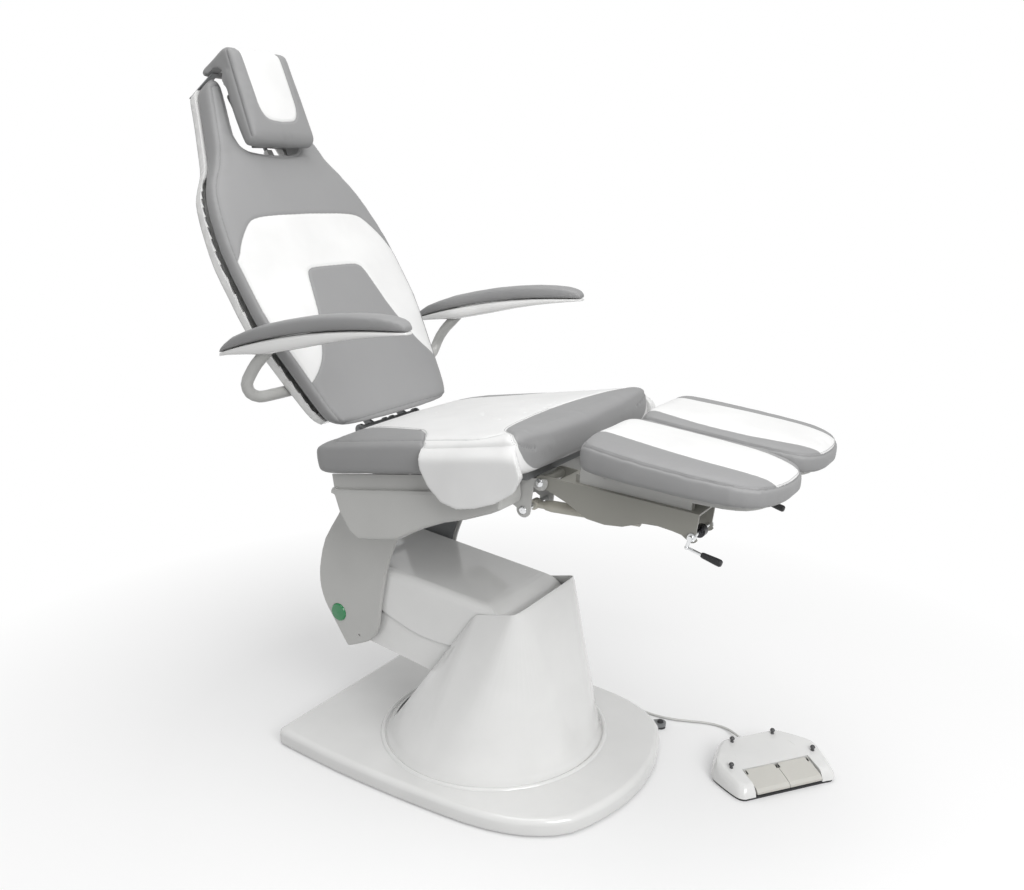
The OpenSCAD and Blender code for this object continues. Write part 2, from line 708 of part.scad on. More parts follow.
module arm_lower_cover() {
    low = concat([lower_front], arc(link_back, lower_back_r, -80, 20, 8),
        [[link_back[0] + lower_back_r - 2, lower_back_z], [232, lower_back_z], [232, 366], [125, 334], [lower_front[0], 316]]);
    inner = concat([lower_front + [-over, cover_wall]], arc(link_back, lower_back_r - cover_wall, -80, 20, 8),
        [[link_back[0] + lower_back_r - cover_wall - 2, lower_back_z * 2], [lower_front[0] - over, lower_back_z * 2]]);
    color(gloss_white)
        difference() {
            side_plate(-lower_half_w, lower_half_w, low);
            side_plate(-lower_half_w + cover_wall, lower_half_w - cover_wall, inner);
            translate([-lower_half_w + cover_wall, lower_front[0] - over, lower_front[1] - over])
                cube([2 * (lower_half_w - cover_wall), lower_floor_y - lower_front[0] + over, lower_floor_y]);
            rod_x(-carriage_x, carriage_x, link_back, 19);
        }
}

// Outline of a cheek as [y, z], anticlockwise from its lowest corner
cheek_points = [[330, 226], [336, 231], [360, 266], [380, 296], [399, 325], [411, 360], [413, 394],
    [408, 430], [389, 491], [343, 560], [318, 602], [285, 640], [230, 662], [188, 652], [166, 610], [163, 567],
    [171, 527], [186, 490], [202, 450], [215, 396], [225, 347], [232, 300], [249, 267], [269, 251], [304, 235],
    [324, 227]];
cheek_outline = smooth_loop(cheek_points, 2);
// Steel plate behind a cheek, without the sharp low corner
carriage_outline = inset(smooth_loop([for (i = [2 : len(cheek_points) - 2]) cheek_points[i]], 1), 9);
switch_at = [355, 308];
switch_r = 22;

module carriage_frame() {
    color(steel)
        difference() {
            union() {
                both() {
                    side_plate(carriage_x, carriage_x + carriage_t, carriage_outline);
                    rod_x(carriage_x - 14, carriage_x + carriage_t, tilt_at, 10);
                }
                rod_x(-carriage_x - 1, carriage_x + 1, arm_back, pivot_r);
                rod_x(-carriage_x - 1, carriage_x + 1, link_back, link_pin_r);
                rod_x(-carriage_x - 1, carriage_x + 1, tilt_drive_at, 8);
                rod_x(-carriage_x - 1, carriage_x + 1, [372, 452], 8);
            }
            rod_x(-carriage_x - carriage_t - over, -carriage_x + over, switch_at, switch_r + 3);
        }
}
tilt_drive_at = [336, 520];
tilt_lug_at = [232, 562];

module cheek(bore) {
    color(warm_white)
        difference() {
            union() {
                side_plate(carriage_x + carriage_t, carriage_x + carriage_t + cheek_t * 0.6, cheek_outline);
                side_plate(carriage_x + carriage_t + cheek_t * 0.6, carriage_x + carriage_t + cheek_t * 0.85,
                    inset(cheek_outline, 0.8));
                side_plate(carriage_x + carriage_t + cheek_t * 0.85, carriage_x + carriage_t + cheek_t,
                    inset(cheek_outline, 2.2));
            }
            if (bore > 0)
                rod_x(carriage_x, carriage_x + carriage_t + cheek_t + over, switch_at, bore);
            rod_x(carriage_x + carriage_t + cheek_t * 0.5, carriage_x + carriage_t + cheek_t + over, [293, 262], 3.5);
        }
}

module cheek_left() {
    cheek(0);
}

module cheek_right() {
    mirror([1, 0, 0])
        cheek(switch_r + clear);
}

module power_button() {
    color(green)
        mirror([1, 0, 0])
            translate([carriage_x, switch_at[0], switch_at[1]])
                rotate([0, 90, 0])
                    rotate_extrude()
                        polygon(concat([[0, 0], [switch_r, 0], [switch_r, carriage_t + cheek_t]],
                            arc([switch_r - 4, carriage_t + cheek_t], 4, 0, 90, 4), [[0, carriage_t + cheek_t + 6]]));
}

module tilt_motor() {
    spindle_motor(tilt_drive_at, tilt_lug_at, 0.5, 13, -1, 0.55);
}

module tilt_rod() {
    spindle_rod(tilt_drive_at, tilt_lug_at, 0.3, 5, 18);
}

module back_motor() {
    spindle_motor(back_drive_at, back_crank_at, 0.68, 15, 1, 0.35);
}

module back_rod() {
    spindle_rod(back_drive_at, back_crank_at, 0.4, 5, 10);
}

// Frame of the tilted seat: local y is -s, local z is t
module seat_pose() {
    translate([0, seat_at[0], seat_at[1]])
        rotate([-seat_tilt, 0, 0])
            children();
}
// A place of the chair in the frame of the seat, as [s, t]
function in_seat(p) = let (d = p - seat_at) [-d[0] * cos(seat_tilt) + d[1] * sin(seat_tilt), d[0] * sin(seat_tilt) + d[1] * cos(seat_tilt)];
function from_st(p) = [for (q = p) [-q[0], q[1]]];
module seat_plate(x0, x1, profile) {
    side_plate(x0, x1, from_st(profile));
}

module seat_frame() {
    tilt = in_seat(tilt_at);
    hinge = in_seat(recline_at);
    drive = in_seat(back_drive_at);
    lug = in_seat(tilt_lug_at);
    color(steel)
        seat_pose()
            difference() {
                union() {
                    both()
                        translate([rail_x - rail_w / 2, -front_rail_s - 1, rail_low])
                            cube([rail_w, front_rail_s - 6, rail_high - rail_low]);
                    translate([-200, -front_rail_s - front_rail_d, rail_low])
                        cube([400, front_rail_d, rail_high - rail_low]);
                    for (s = [130, 290])
                        translate([-neck_half_w + cover_wall + clear, -s - 24, rail_low + 2])
                            cube([2 * (neck_half_w - cover_wall - clear), 24, rail_high - rail_low - 2]);
                    both()
                        seat_plate(rail_x - 2, rail_x + 6, concat([[90, rail_low + 1], [10, rail_low + 1]],
                            arc(tilt, 20, 200, 340, 10)));
                    both()
                        seat_plate(rail_x - 22, rail_x - 14, concat([[30, rail_low + 1], [30, rail_high]],
                            [[4, rail_high], [-8, rail_high + 4]], arc(hinge, 14, 20, 200, 10), [[-26, rail_low + 20]]));
                    both()
                        seat_plate(rail_x - 30, rail_x - 22 + 1, [[30, rail_low + 1], [30, rail_high], [7, rail_high], [7, rail_low + 1]]);
                    for (x = [-22, 16])
                        seat_plate(x, x + 6, concat(arc(drive, 13, 180, 360, 10), [[306, rail_low + 3], [270, rail_low + 3]]));
                    rod_x(-21, 21, [-drive[0], drive[1]], 8);
                    both()
                        translate([lug_x, -24, rail_low])
                            cube([rail_x - lug_x, 18, rail_high - rail_low]);
                    both()
                        seat_plate(lug_x, lug_x + 6, concat(arc(lug, 13, 180, 360, 10), [[26, rail_low + 1], [6, rail_low + 1]]));
                }
                rod_x(-carriage_x, carriage_x, [-tilt[0], tilt[1]], 10 + fit);
                rod_x(-carriage_x, carriage_x, [-hinge[0], hinge[1]], back_pin_r + fit);
            }
}
back_drive_at = [-15, 663];
back_crank_at = [345, 690];
lug_x = 20;
neck_half_w = under_half_w - 12;
neck_low = -0.18 * under_depth;

under_profile = backwards(smooth([for (p = under_shares) [-p[0] * seat_depth, p[1] * under_depth]], 1));
function under_ring(x, d) = [for (p = inset(under_profile, d)) [x, p[0], p[1]]];

module seat_undercover() {
    color(warm_white)
        seat_pose()
            difference() {
                union() {
                    difference() {
                        skin([under_ring(-under_half_w, 10), under_ring(-under_half_w + 2, 4), under_ring(-under_half_w + 8, 0),
                            under_ring(under_half_w - 8, 0), under_ring(under_half_w - 2, 4), under_ring(under_half_w, 10)]);
                        translate([0, 0, over])
                            skin([under_ring(-under_half_w + cover_wall, 12), under_ring(-under_half_w + 12, cover_wall),
                                under_ring(under_half_w - 12, cover_wall), under_ring(under_half_w - cover_wall, 12)]);
                        translate([-under_half_w + cover_wall, -seat_depth * 0.84, neck_low - 8])
                            cube([2 * (under_half_w - cover_wall), seat_depth * 0.805, under_depth]);
                    }
                    both()
                        translate([neck_half_w - cover_wall, -seat_depth * 0.842, neck_low])
                            cube([cover_wall, seat_depth * 0.827, rail_high - neck_low]);
                    both()
                        translate([neck_half_w - cover_wall, -seat_depth * 0.842, neck_low])
                            cube([under_half_w - neck_half_w + over, seat_depth * 0.827, cover_wall]);
                    translate([-neck_half_w, -seat_depth * 0.842, neck_low])
                        cube([2 * neck_half_w, cover_wall + over, rail_high - neck_low]);
                }
                translate([-carriage_x - 24, -236, -under_depth * 2])
                    cube([2 * (carriage_x + 24), 400, under_depth * 3]);
                both()
                    translate([bracket_in - 3, -seat_depth * 0.9, -under_depth])
                        cube([bracket_out + bracket_t - bracket_in + 6, seat_depth * 0.12, under_depth * 1.2]);
            }
}

// Ring of the seat cushion at s: rounded box with a crown, and a saddle dip toward the front
seat_ring_n = 32;
function seat_ring(s) = let (d = min(s, seat_depth - s), r = draw_in(d, seat_end_r), w = seat_w / 2 - r * 0.8,
    front = max(0, (s / seat_depth - 0.55) / 0.45), rear = max(0, 1 - s / seat_rear_len), low = seat_under + r * 0.35, high = seat_under + seat_thick - r * 0.75)
    [for (i = [0 : seat_ring_n - 1]) let (a = 360 * i / seat_ring_n, c = cos(a), q = sin(a),
        x = sign(c) * pow(abs(c), 0.34), z = sign(q) * pow(abs(q), 0.34), across = abs(x),
        lift = seat_crown * (1 - across * across) + front * front * (seat_horn * across * across * across - seat_dip * (1 - across * across))
            - rear * rear * seat_rear_dip * (1 - pow(across, 6)))
    [w * x, -s, mix(low, high, (z + 1) / 2) + (z > 0 ? z * lift : 0)]];
seat_stations = [0, 0.004, 0.015, 0.045, 0.1, 0.2, 0.3, 0.4, 0.5, 0.58, 0.66, 0.73, 0.8, 0.86, 0.91, 0.955, 0.985, 0.996, 1];

module seat_cushion() {
    color(grey_leather)
        seat_pose()
            skin([for (share = backwards(seat_stations)) seat_ring(share * seat_depth)]);
}

flap_profile = smooth_loop([for (p = flap_shares) [-p[0] * seat_depth, seat_under + p[1] * seat_thick]], 1);
function flap_ring(x, d) = [for (p = inset(flap_profile, d)) [x, p[0], p[1] - max(0, p[1] - seat_under - seat_thick * 0.95)]];

module seat_flaps() {
    in_x = seat_w / 2 + clear;
    color(white_leather)
        both()
            seat_pose()
                skin([flap_ring(in_x, 3), flap_ring(in_x + 2, 0), flap_ring(in_x + flap_t * 0.7, 0),
                    flap_ring(in_x + flap_t * 0.93, 4), flap_ring(in_x + flap_t, 10)]);
}

// Leg hinge brackets: waisted plates with two lobes and a tab under the front rail
bracket_out = leg_mid + channel_w / 2 + bracket_gap;
bracket_in = leg_mid - channel_w / 2 - bracket_gap - bracket_t;
function bracket_profile() = let (tab0 = seat_place([front_rail_s - 4, rail_low - clear]),
    tab1 = seat_place([front_rail_s + front_rail_d - 3, rail_low - clear]))
    concat(arc(leg_at, 17, 150, 330, 10), [leg_at + [19, -34]], arc(spring_at, 16, 190, 370, 9), [spring_at + [36, 14], tab0, tab1]);
function seat_place(p) = seat_at + [-p[0] * cos(seat_tilt) + p[1] * sin(seat_tilt), p[0] * sin(seat_tilt) + p[1] * cos(seat_tilt)];

module leg_brackets() {
    color(warm_white)
        both()
            difference() {
                for (x = [bracket_in, bracket_out])
                    side_plate(x, x + bracket_t, bracket_profile());
                rod_x(0, seat_w, leg_at, bolt_r + fit);
                rod_x(0, seat_w, spring_at, bolt_r + fit);
            }
}

module dome(x, at, side) {
    translate([x, at[0], at[1]])
        rotate([0, 90 * side, 0])
            rotate_extrude()
                polygon(concat([[0, 0]], [[dome_r, 0], [dome_r, 1]], arc([dome_r - 4, 1], 4, 0, 90, 4), [[0, 5.6]]));
}

module bracket_bolts() {
    color(chrome)
        both()
            for (at = [leg_at, spring_at]) {
                rod_x(bracket_in, bracket_out + bracket_t, at, bolt_r);
                dome(bracket_out + bracket_t, at, 1);
                dome(bracket_in, at, -1);
            }
}

// Frame of a leg rest: local y is -r, local z is h
module leg_pose() {
    translate([0, leg_at[0], leg_at[1]])
        rotate([leg_drop, 0, 0])
            children();
}
function in_leg(p) = let (d = p - leg_at) [d[0] * cos(leg_drop) + d[1] * sin(leg_drop), -d[0] * sin(leg_drop) + d[1] * cos(leg_drop)];
// Lower edge of the channel walls, as shares of the channel length and height
channel_shares = [[0.966, -3.2], [0.91, -2.4], [0.855, -2.2], [0.745, -2.0], [0.67, -2.28], [0.638, -2.6], [0.55, -3.48],
    [0.436, -3.88], [0.318, -3.7], [0.178, -2.1], [0.05, -1.05]];

module leg_frame() {
    release = in_leg(release_at);
    color(warm_white)
        leg_pose()
            difference() {
                union() {
                    for (x = [leg_mid - channel_w / 2, leg_mid + channel_w / 2 - channel_t])
                        side_plate(x, x + channel_t, channel_wall);
                    translate([leg_mid - channel_w / 2, -channel_len, channel_top - channel_t])
                        cube([channel_w, channel_len - 40, channel_t]);
                    for (x = [leg_mid - 29, leg_mid + 19])
                        translate([x, -channel_len + 20, channel_top - 1])
                            cube([guide_w, channel_len - 90, guide_h + 1]);
                    rod_x(leg_mid - channel_w / 2, leg_mid + channel_w / 2, [0, 0], bolt_r + 4);
                }
                rod_x(0, seat_w, [0, 0], bolt_r + fit);
                rod_x(0, seat_w, release, release_r + fit);
                for (r = [110, 210])
                    translate([leg_mid + channel_w / 2 - 14, -r, 0])
                        cylinder(h = channel_top * 2, r = 3);
            }
}
release_r = 5;
channel_wall = let (release = in_leg(release_at)) concat(
    arc([0, 0], channel_top, 90, -60, 6),
    [for (p = backwards(channel_shares)) [-p[0] * channel_len, p[1] * channel_top]],
    arc(release, 12, -80, -150, 4),
    [[-channel_len + 3, -channel_top * 2.2], [-channel_len, channel_top]]);

module leg_slide() {
    color(steel)
        leg_pose()
            difference() {
                union() {
                    for (x = [leg_mid - 29, leg_mid + 19])
                        translate([x - clear - 3, -channel_len + 20, channel_top + clear])
                            cube([guide_w + 2 * clear + 6, channel_len - 100, leg_pad_low - board_t - channel_top + 2]);
                    translate([0, 0, leg_pad_low - board_t])
                        linear_extrude(board_t - clear)
                            polygon([for (p = leg_outline) [mix(leg_mid, p[0], 0.66), mix(-leg_pad_start - leg_len / 2, p[1], 0.8)]]);
                }
                for (x = [leg_mid - 29, leg_mid + 19])
                    translate([x - clear, -channel_len, channel_top - over])
                        cube([guide_w + 2 * clear, channel_len, guide_h + over + clear]);
            }
}

function leg_outer(share) = table_at(leg_outer_shares, share) * leg_w;
function leg_inner(share) = table_at(leg_inner_shares, share) * leg_w;
leg_share_steps = [0, 0.01, 0.03, 0.07, 0.16, 0.28, 0.4, 0.52, 0.62, 0.72, 0.8, 0.87, 0.92, 0.955, 0.98, 0.993, 1];
leg_outline = concat([for (s = leg_share_steps) [leg_outer(s), -leg_pad_start - s * leg_len]],
    [for (s = backwards(leg_share_steps)) [leg_inner(s), -leg_pad_start - s * leg_len]]);
leg_ring_n = 26;
function leg_ring(share) = let (d = min(share, 1 - share) * leg_len, r = draw_in(d, 22),
    x0 = leg_inner(share), x1 = leg_outer(share), tip = max(0, (share - 0.72) / 0.28),
    low = leg_pad_low + r * 0.4 + tip * tip * 4, high = leg_pad_low + leg_thick - share * leg_len * 0.0497 - r * 0.7 - tip * tip * 9)
    [for (i = [0 : leg_ring_n - 1]) let (a = 360 * i / leg_ring_n, c = cos(a), q = sin(a),
        x = sign(c) * pow(abs(c), 0.38), z = sign(q) * pow(abs(q), 0.38))
    [mix(x0, x1, (x + 1) / 2), -leg_pad_start - share * leg_len, mix(low, high, (z + 1) / 2) + (z > 0 ? z * 7 * (1 - x * x) : 0)]];

module leg_cushion() {
    color(grey_leather)
        leg_pose()
            skin([for (share = backwards(leg_share_steps)) leg_ring(share)]);
}

// Gas spring under a leg rest
spring_dir = release_at - spring_at;
spring_turn = atan2(spring_dir[1], spring_dir[0]);
module spring_pose() {
    translate([leg_mid, spring_at[0], spring_at[1]])
        rotate([spring_turn, 0, 0])
            children();
}

module gas_spring() {
    color(cream)
        spring_pose()
            difference() {
                union() {
                    rod_x(-9, 9, [0, 0], 11);
                    rotate([-90, 0, 0])
                        cylinder(h = 34, r = 8);
                    translate([0, 26, 0])
                        rotate([-90, 0, 0])
                            cylinder(h = 14, r1 = spring_r - 2, r2 = spring_r);
                    translate([0, 39, 0])
                        rotate([-90, 0, 0])
                            cylinder(h = 196, r = spring_r);
                }
                rod_x(-10, 10, [0, 0], bolt_r + fit);
                translate([0, 60, 0])
                    rotate([-90, 0, 0])
                        cylinder(h = 300, r = spring_rod_r + fit);
            }
}
spring_rod_r = 5;
rod_eye_half = 10;

module gas_rod() {
    reach = norm(spring_dir);
    color(dark)
        spring_pose()
            union() {
                translate([0, 150, 0])
                    rotate([-90, 0, 0])
                        cylinder(h = reach - 150, r = spring_rod_r);
                rod_x(-rod_eye_half + 2, rod_eye_half - 2, [reach, 0], release_r + 7);
                rod_x(-rod_eye_half, rod_eye_half, [reach, 0], release_r);
            }
}

// Release lever: a cross shaft with domed ends, a crank and a thin bar to the grip
lever_x = leg_mid + channel_w / 2 + 8;
lever_elbow = release_at + [6, -19];
lever_mid = release_at + [-23, -27];
lever_tip = release_at + [-62, -37];
module release_lever() {
    out = leg_mid + channel_w / 2;
    color(chrome) {
        rod_x(leg_mid - channel_w / 2 - 1, leg_mid - rod_eye_half - clear, release_at, release_r);
        rod_x(leg_mid + rod_eye_half + clear, lever_x + 5, release_at, release_r);
        dome(out, release_at, 1);
        dome(leg_mid - channel_w / 2, release_at, -1);
        bar([lever_x, release_at[0], release_at[1]], [lever_x, lever_elbow[0], lever_elbow[1]], 3.5);
        translate([lever_x, lever_elbow[0], lever_elbow[1]])
            sphere(r = 4.2, $fn = 24);
        bar([lever_x, lever_elbow[0], lever_elbow[1]], [lever_x, lever_mid[0], lever_mid[1]], 3);
    }
}

module lever_grip() {
    a = [lever_x, lever_mid[0], lever_mid[1]];
    b = [lever_x, lever_tip[0], lever_tip[1]];
    d = b - a;
    color(dark)
        translate(a)
            rotate([0, acos(d[2] / norm(d)), atan2(d[1], d[0])])
                rotate_extrude()
                    polygon([[0, 0], [4.5, 0], [5.5, 3], [6, 12], [7, 30], [7, norm(d) - 3], [5, norm(d)], [0, norm(d)]]);
}

// Frame of the reclined back: local y is e, local z is v
module back_pose() {
    translate([0, back_at[0], back_at[1]])
        rotate([-back_recline, 0, 0])
            children();
}
function in_back(p) = let (d = p - back_at) [d[0] * cos(back_recline) - d[1] * sin(back_recline), d[0] * sin(back_recline) + d[1] * cos(back_recline)];
function back_w(share) = table_at(back_width_shares, share) * back_half_w;
function notch_w(share) = table_at(notch_width_shares, share) * back_half_w;
back_right = smooth([for (p = back_width_shares) [p[1] * back_half_w, p[0] * back_len]], 2);
notch_right = smooth([for (p = backwards(notch_width_shares)) [p[1] * back_half_w, p[0] * back_len]], 2);
back_half_outline = concat(back_right, notch_right);
back_outline = concat([for (i = [1 : len(back_half_outline) - 1]) flip(back_half_outline)[i]], back_half_outline);
// Shift of a point up the back, so that the bottom edge of the back is level
function level_shift(v, e) = e * tan(back_recline) * max(0, 1 - v / (back_len * 0.2));

module back_slab(e0, e1, d) {
    translate([0, e1, 0])
        rotate([90, 0, 0])
            linear_extrude(e1 - e0)
                polygon([for (p = inset(back_outline, d)) [p[0], p[1] + level_shift(p[1], e1)]]);
}

// Right half of the hollow inside the back shell
shell_hollow = [for (p = back_right) if (p[1] < notch_low - 20)
    [p[0] - 8, p[1] + level_shift(p[1], back_pad_t) + (p[1] < 40 ? 22 : 0)]];

module back_shell() {
    e0 = back_pad_t + clear;
    e1 = back_pad_t + clear + back_shell_t;
    arm = in_back(arm_axis);
    color(gloss_white)
        back_pose()
            difference() {
                union() {
                    back_slab(e0, e1 - 8, 0);
                    back_slab(e1 - 9, e1 - 3, 2);
                    back_slab(e1 - 4, e1, 6);
                    both()
                        for (v = [0.83, 0.93])
                            translate([head_rod_x, head_rod_e, v * back_len])
                                translate([0, 0, -14]) {
                                    cylinder(h = 28, r = head_rod_r + 4);
                                    translate([-head_rod_r - 4, e1 - head_rod_e - 2, 0])
                                        cube([2 * (head_rod_r + 4), head_rod_e - e1 + 2, 28]);
                                }
                }
                translate([0, e1 - cover_wall, 0])
                    rotate([90, 0, 0])
                        linear_extrude(back_shell_t)
                            polygon(concat(flip(shell_hollow), shell_hollow));
                both()
                    translate([head_rod_x, head_rod_e, 0])
                        cylinder(h = back_len * 2, r = head_rod_r + fit);
                both()
                    translate([150 - 5, e0, arm[1] - 18])
                        cube([18, back_shell_t * 2, 36]);
                both()
                    translate([upright_x - upright_w, e0 - over, -back_len * 0.1])
                        cube([upright_w * 2, back_shell_t - cover_wall + over, back_len * 0.2]);
            }
}
upright_x = 70;
upright_w = 13;

module back_frame() {
    hinge = in_back(recline_at);
    crank = in_back(back_crank_at);
    arm = in_back(arm_axis);
    e0 = back_pad_t + 3;
    e1 = e0 + 15;
    color(steel)
        back_pose()
            difference() {
                union() {
                    both() {
                        translate([upright_x - upright_w, e0, 62])
                            cube([upright_w * 2, e1 - e0, 560]);
                        side_plate(upright_x - upright_w, upright_x - upright_w + 8,
                            concat(arc(hinge, 14, 180, 340, 8), [[e1, 64], [e0, 64], [e0, 38]]));
                    }
                    for (v = [70, 330, 596])
                        translate([-upright_x, e0, v])
                            cube([upright_x * 2, e1 - e0, 26]);
                    translate([-170, e0, arm[1] - 12])
                        cube([340, e1 - e0, 24]);
                    both()
                        side_plate(150, 158, concat([[e0, arm[1] + 12], [e0, arm[1] - 12]], arc(arm, 14, -90, 90, 8)));
                    rod_x(-arm_sleeve_end, arm_sleeve_end, arm, arm_axis_r);
                    rod_x(-rail_x + 14 - 6, rail_x - 14 + 6, hinge, back_pin_r);
                    rod_x(-rail_x + 24, rail_x - 24, hinge, 10);
                    for (x = [-16, 10])
                        side_plate(x, x + 6, capsule(crank, hinge, 11, 13));
                    both()
                        rod_x(15, 18, crank, 6);
                }
            }
}
arm_sleeve_start = 206;
arm_sleeve_end = 268;

// Cross rings of the back cushion at v: a rounded box from x0 to x1, crowned on its front
function back_ring(v, x0, x1, crown, n, end) = let (r = draw_in(end, 20))
    [for (i = [0 : n - 1]) let (a = 360 * i / n, c = cos(a), q = sin(a), x = sign(c) * pow(abs(c), 0.4),
        y = sign(q) * pow(abs(q), 0.4), depth = mix(r * 0.5, back_pad_t - r * 0.3, (y + 1) / 2) + (y < 0 ? y * crown * (1 - x * x) : 0))
    [mix(x0 + r * 0.7, x1 - r * 0.7, (x + 1) / 2), depth, v + level_shift(v, depth)]];
back_steps = [0.0155, 0.017, 0.022, 0.034, 0.06, 0.1, 0.16, 0.22, 0.28, 0.34, 0.4, 0.46, 0.52, 0.57, 0.62, 0.66, 0.69, 0.715, 0.74, 0.762, 0.772];
horn_steps = [0.72, 0.745, 0.772, 0.785, 0.80, 0.83, 0.87, 0.91, 0.95, 0.975, 0.99, 0.997, 1];

module back_cushion() {
    color(grey_leather)
        back_pose()
            resize([2 * back_half_w, 0, 0])
                union() {
                    skin([for (s = back_steps) back_ring(s * back_len, -back_w(s), back_w(s), back_crown, 34, (s - back_steps[0]) * back_len)]);
                    both()
                        skin([for (s = horn_steps) back_ring(s * back_len, max(notch_w(s), 4), back_w(s), 6, 20, (1 - s) * back_len)]);
                }
}

module headrest_frame() {
    top_v = back_len + 3.3;
    color(steel)
        back_pose()
            both() {
                translate([head_rod_x, head_rod_e, notch_low])
                    cylinder(h = top_v - notch_low, r = head_rod_r);
                translate([head_rod_x - 12, -8, top_v])
                    cube([20, head_rod_e + 16, 2.8]);
            }
}

// Side profile of the headrest cushion, a front block and a bridge over the horns: [e, v] with v from the top of the horns
head_points = [[-12, -190], [-14, -153], [-20, -103], [-29, -58], [-38, -23], [-39, -4], [-28, 5.5], [-8, 7.3], [12, 7.3],
    [18, 11], [19, 19], [12, 26], [-8, 28], [-40, 28], [-70, 27], [-86, 21], [-94, 7], [-92, -18], [-86, -53], [-77, -103],
    [-67, -150], [-58, -186], [-48, -201], [-34, -205], [-20, -202]];
head_profile = smooth_loop([for (p = head_points) [p[0], back_len + p[1]]], 2);
head_bottom_v = back_len - 205;
head_top_v = back_len + 28;
function head_ring(x, d) = [for (p = inset(head_profile, d))
    [x * mix(1, 0.9, (p[1] - head_bottom_v) / (head_top_v - head_bottom_v)), p[0], p[1]]];

module headrest_cushion() {
    color(grey_leather)
        back_pose()
            skin([for (k = [-1, -0.985, -0.93, -0.8, -0.5, 0, 0.5, 0.8, 0.93, 0.985, 1])
                head_ring(k * head_half_w, abs(k) > 0.9 ? mix(0, 9, pow((abs(k) - 0.9) * 10, 2)) : -2 * (1 - abs(k)))]);
}

// Armrest: tube path, shell and pad, drawn on the left side
arm_path = smooth([[arm_sleeve_end - 8, arm_axis[0], arm_axis[1]], [arm_sleeve_end + 12, arm_axis[0], arm_axis[1]],
    [pad_x - 36, arm_axis[0], arm_axis[1] + 2], [pad_x - 12, arm_axis[0], arm_axis[1] + 14], [pad_x, arm_axis[0] - 4, arm_axis[1] + 36],
    [pad_x, 392, 920], [pad_x, 372, 944], [pad_x, 352, 962], [pad_x, 338, 975], [pad_x, 328, 984]], 2);

module arm_tube() {
    color(warm_white)
        difference() {
            union() {
                skin([for (i = [0 : len(arm_path) - 1]) tube_ring(arm_path, i, tube_r, [0, 1, 1], 14)]);
                rod_x(arm_sleeve_start, arm_sleeve_end, arm_axis, tube_r);
            }
            rod_x(arm_sleeve_start - over, arm_sleeve_end + 0.4, arm_axis, arm_axis_r + fit);
        }
}

pad_rear_y = 473;
pad_rise = 82;
pad_rear_z = 961;
pad_steps = [0, 0.006, 0.02, 0.05, 0.1, 0.18, 0.28, 0.4, 0.52, 0.64, 0.75, 0.84, 0.91, 0.955, 0.982, 0.995, 1];
pad_width_shares = [[0, 0.36], [0.02, 0.52], [0.06, 0.66], [0.15, 0.84], [0.3, 1], [0.75, 1], [0.9, 0.88], [0.96, 0.72], [0.99, 0.5], [1, 0.36]];
pad_thick_shares = [[0, 0.16], [0.03, 0.4], [0.1, 0.72], [0.25, 0.94], [0.55, 1], [0.8, 0.94], [0.93, 0.8], [0.98, 0.6], [1, 0.34]];
shell_depth_shares = [[0, 0.25], [0.05, 0.34], [0.15, 0.62], [0.3, 1], [0.5, 0.92], [0.7, 0.62], [0.9, 0.32], [1, 0.16]];
pad_thick = 34;
arm_shell_depth = 32;
function seam_z(t) = pad_rear_z + pad_rise * (1 - (1 - t) * (1 - t));
function pad_ring(t, low, high, power, narrow) = let (w = (table_at(pad_width_shares, t) * pad_w - narrow) / 2)
    [for (i = [0 : 17]) let (a = 20 * i, c = cos(a), q = sin(a))
    [pad_x + w * sign(c) * pow(abs(c), power), pad_rear_y - t * pad_len, seam_z(t) + mix(low, high, (sign(q) * pow(abs(q), power) + 1) / 2)]];

module arm_pad() {
    color(grey_leather)
        skin([for (t = backwards(pad_steps)) pad_ring(t, clear, table_at(pad_thick_shares, t) * pad_thick, 0.55, 0)]);
}

module arm_shell() {
    color(gloss_white)
        difference() {
            skin([for (t = backwards(pad_steps)) pad_ring(t, -table_at(shell_depth_shares, t) * arm_shell_depth, 0, 0.5, 3)]);
            bar([pad_x, 352, 962], [pad_x, 322, 989.5], tube_r + clear);
            bar([pad_x, 376, 940], [pad_x, 350, 964], tube_r + clear + 0.5);
        }
}

base_cover();
base_frame();
levelling_feet();
column_frame();
column_cover();
cord_gland();
foot_housing();
foot_base();
foot_cord();
pedal_left();
pedal_right();
button_back_left();
button_back_right();
button_side_left();
button_side_right();
lift_motor();
lift_rod();
arm_frame();
arm_upper_cover();
link_frame();
arm_lower_cover();
carriage_frame();
cheek_left();
cheek_right();
power_button();
tilt_motor();
tilt_rod();
seat_frame();
seat_undercover();
seat_cushion();
seat_flaps();
leg_brackets();
bracket_bolts();
back_motor();
back_rod();
back_frame();
back_shell();
back_cushion();
headrest_frame();
headrest_cushion();
arm_tube();  // arm_tube_left
mirror([1, 0, 0]) arm_tube();  // arm_tube_right
arm_shell();  // arm_shell_left
mirror([1, 0, 0]) arm_shell();  // arm_shell_right
arm_pad();  // arm_pad_left
mirror([1, 0, 0]) arm_pad();  // arm_pad_right
leg_frame();  // leg_frame_left
mirror([1, 0, 0]) leg_frame();  // leg_frame_right
leg_slide();  // leg_slide_left
mirror([1, 0, 0]) leg_slide();  // leg_slide_right
leg_cushion();  // leg_cushion_left
mirror([1, 0, 0]) leg_cushion();  // leg_cushion_right
gas_spring();  // gas_spring_left
mirror([1, 0, 0]) gas_spring();  // gas_spring_right
gas_rod();  // gas_rod_left
mirror([1, 0, 0]) gas_rod();  // gas_rod_right
release_lever();  // release_lever_left
mirror([1, 0, 0]) release_lever();  // release_lever_right
lever_grip();  // lever_grip_left
mirror([1, 0, 0]) lever_grip();  // lever_grip_right
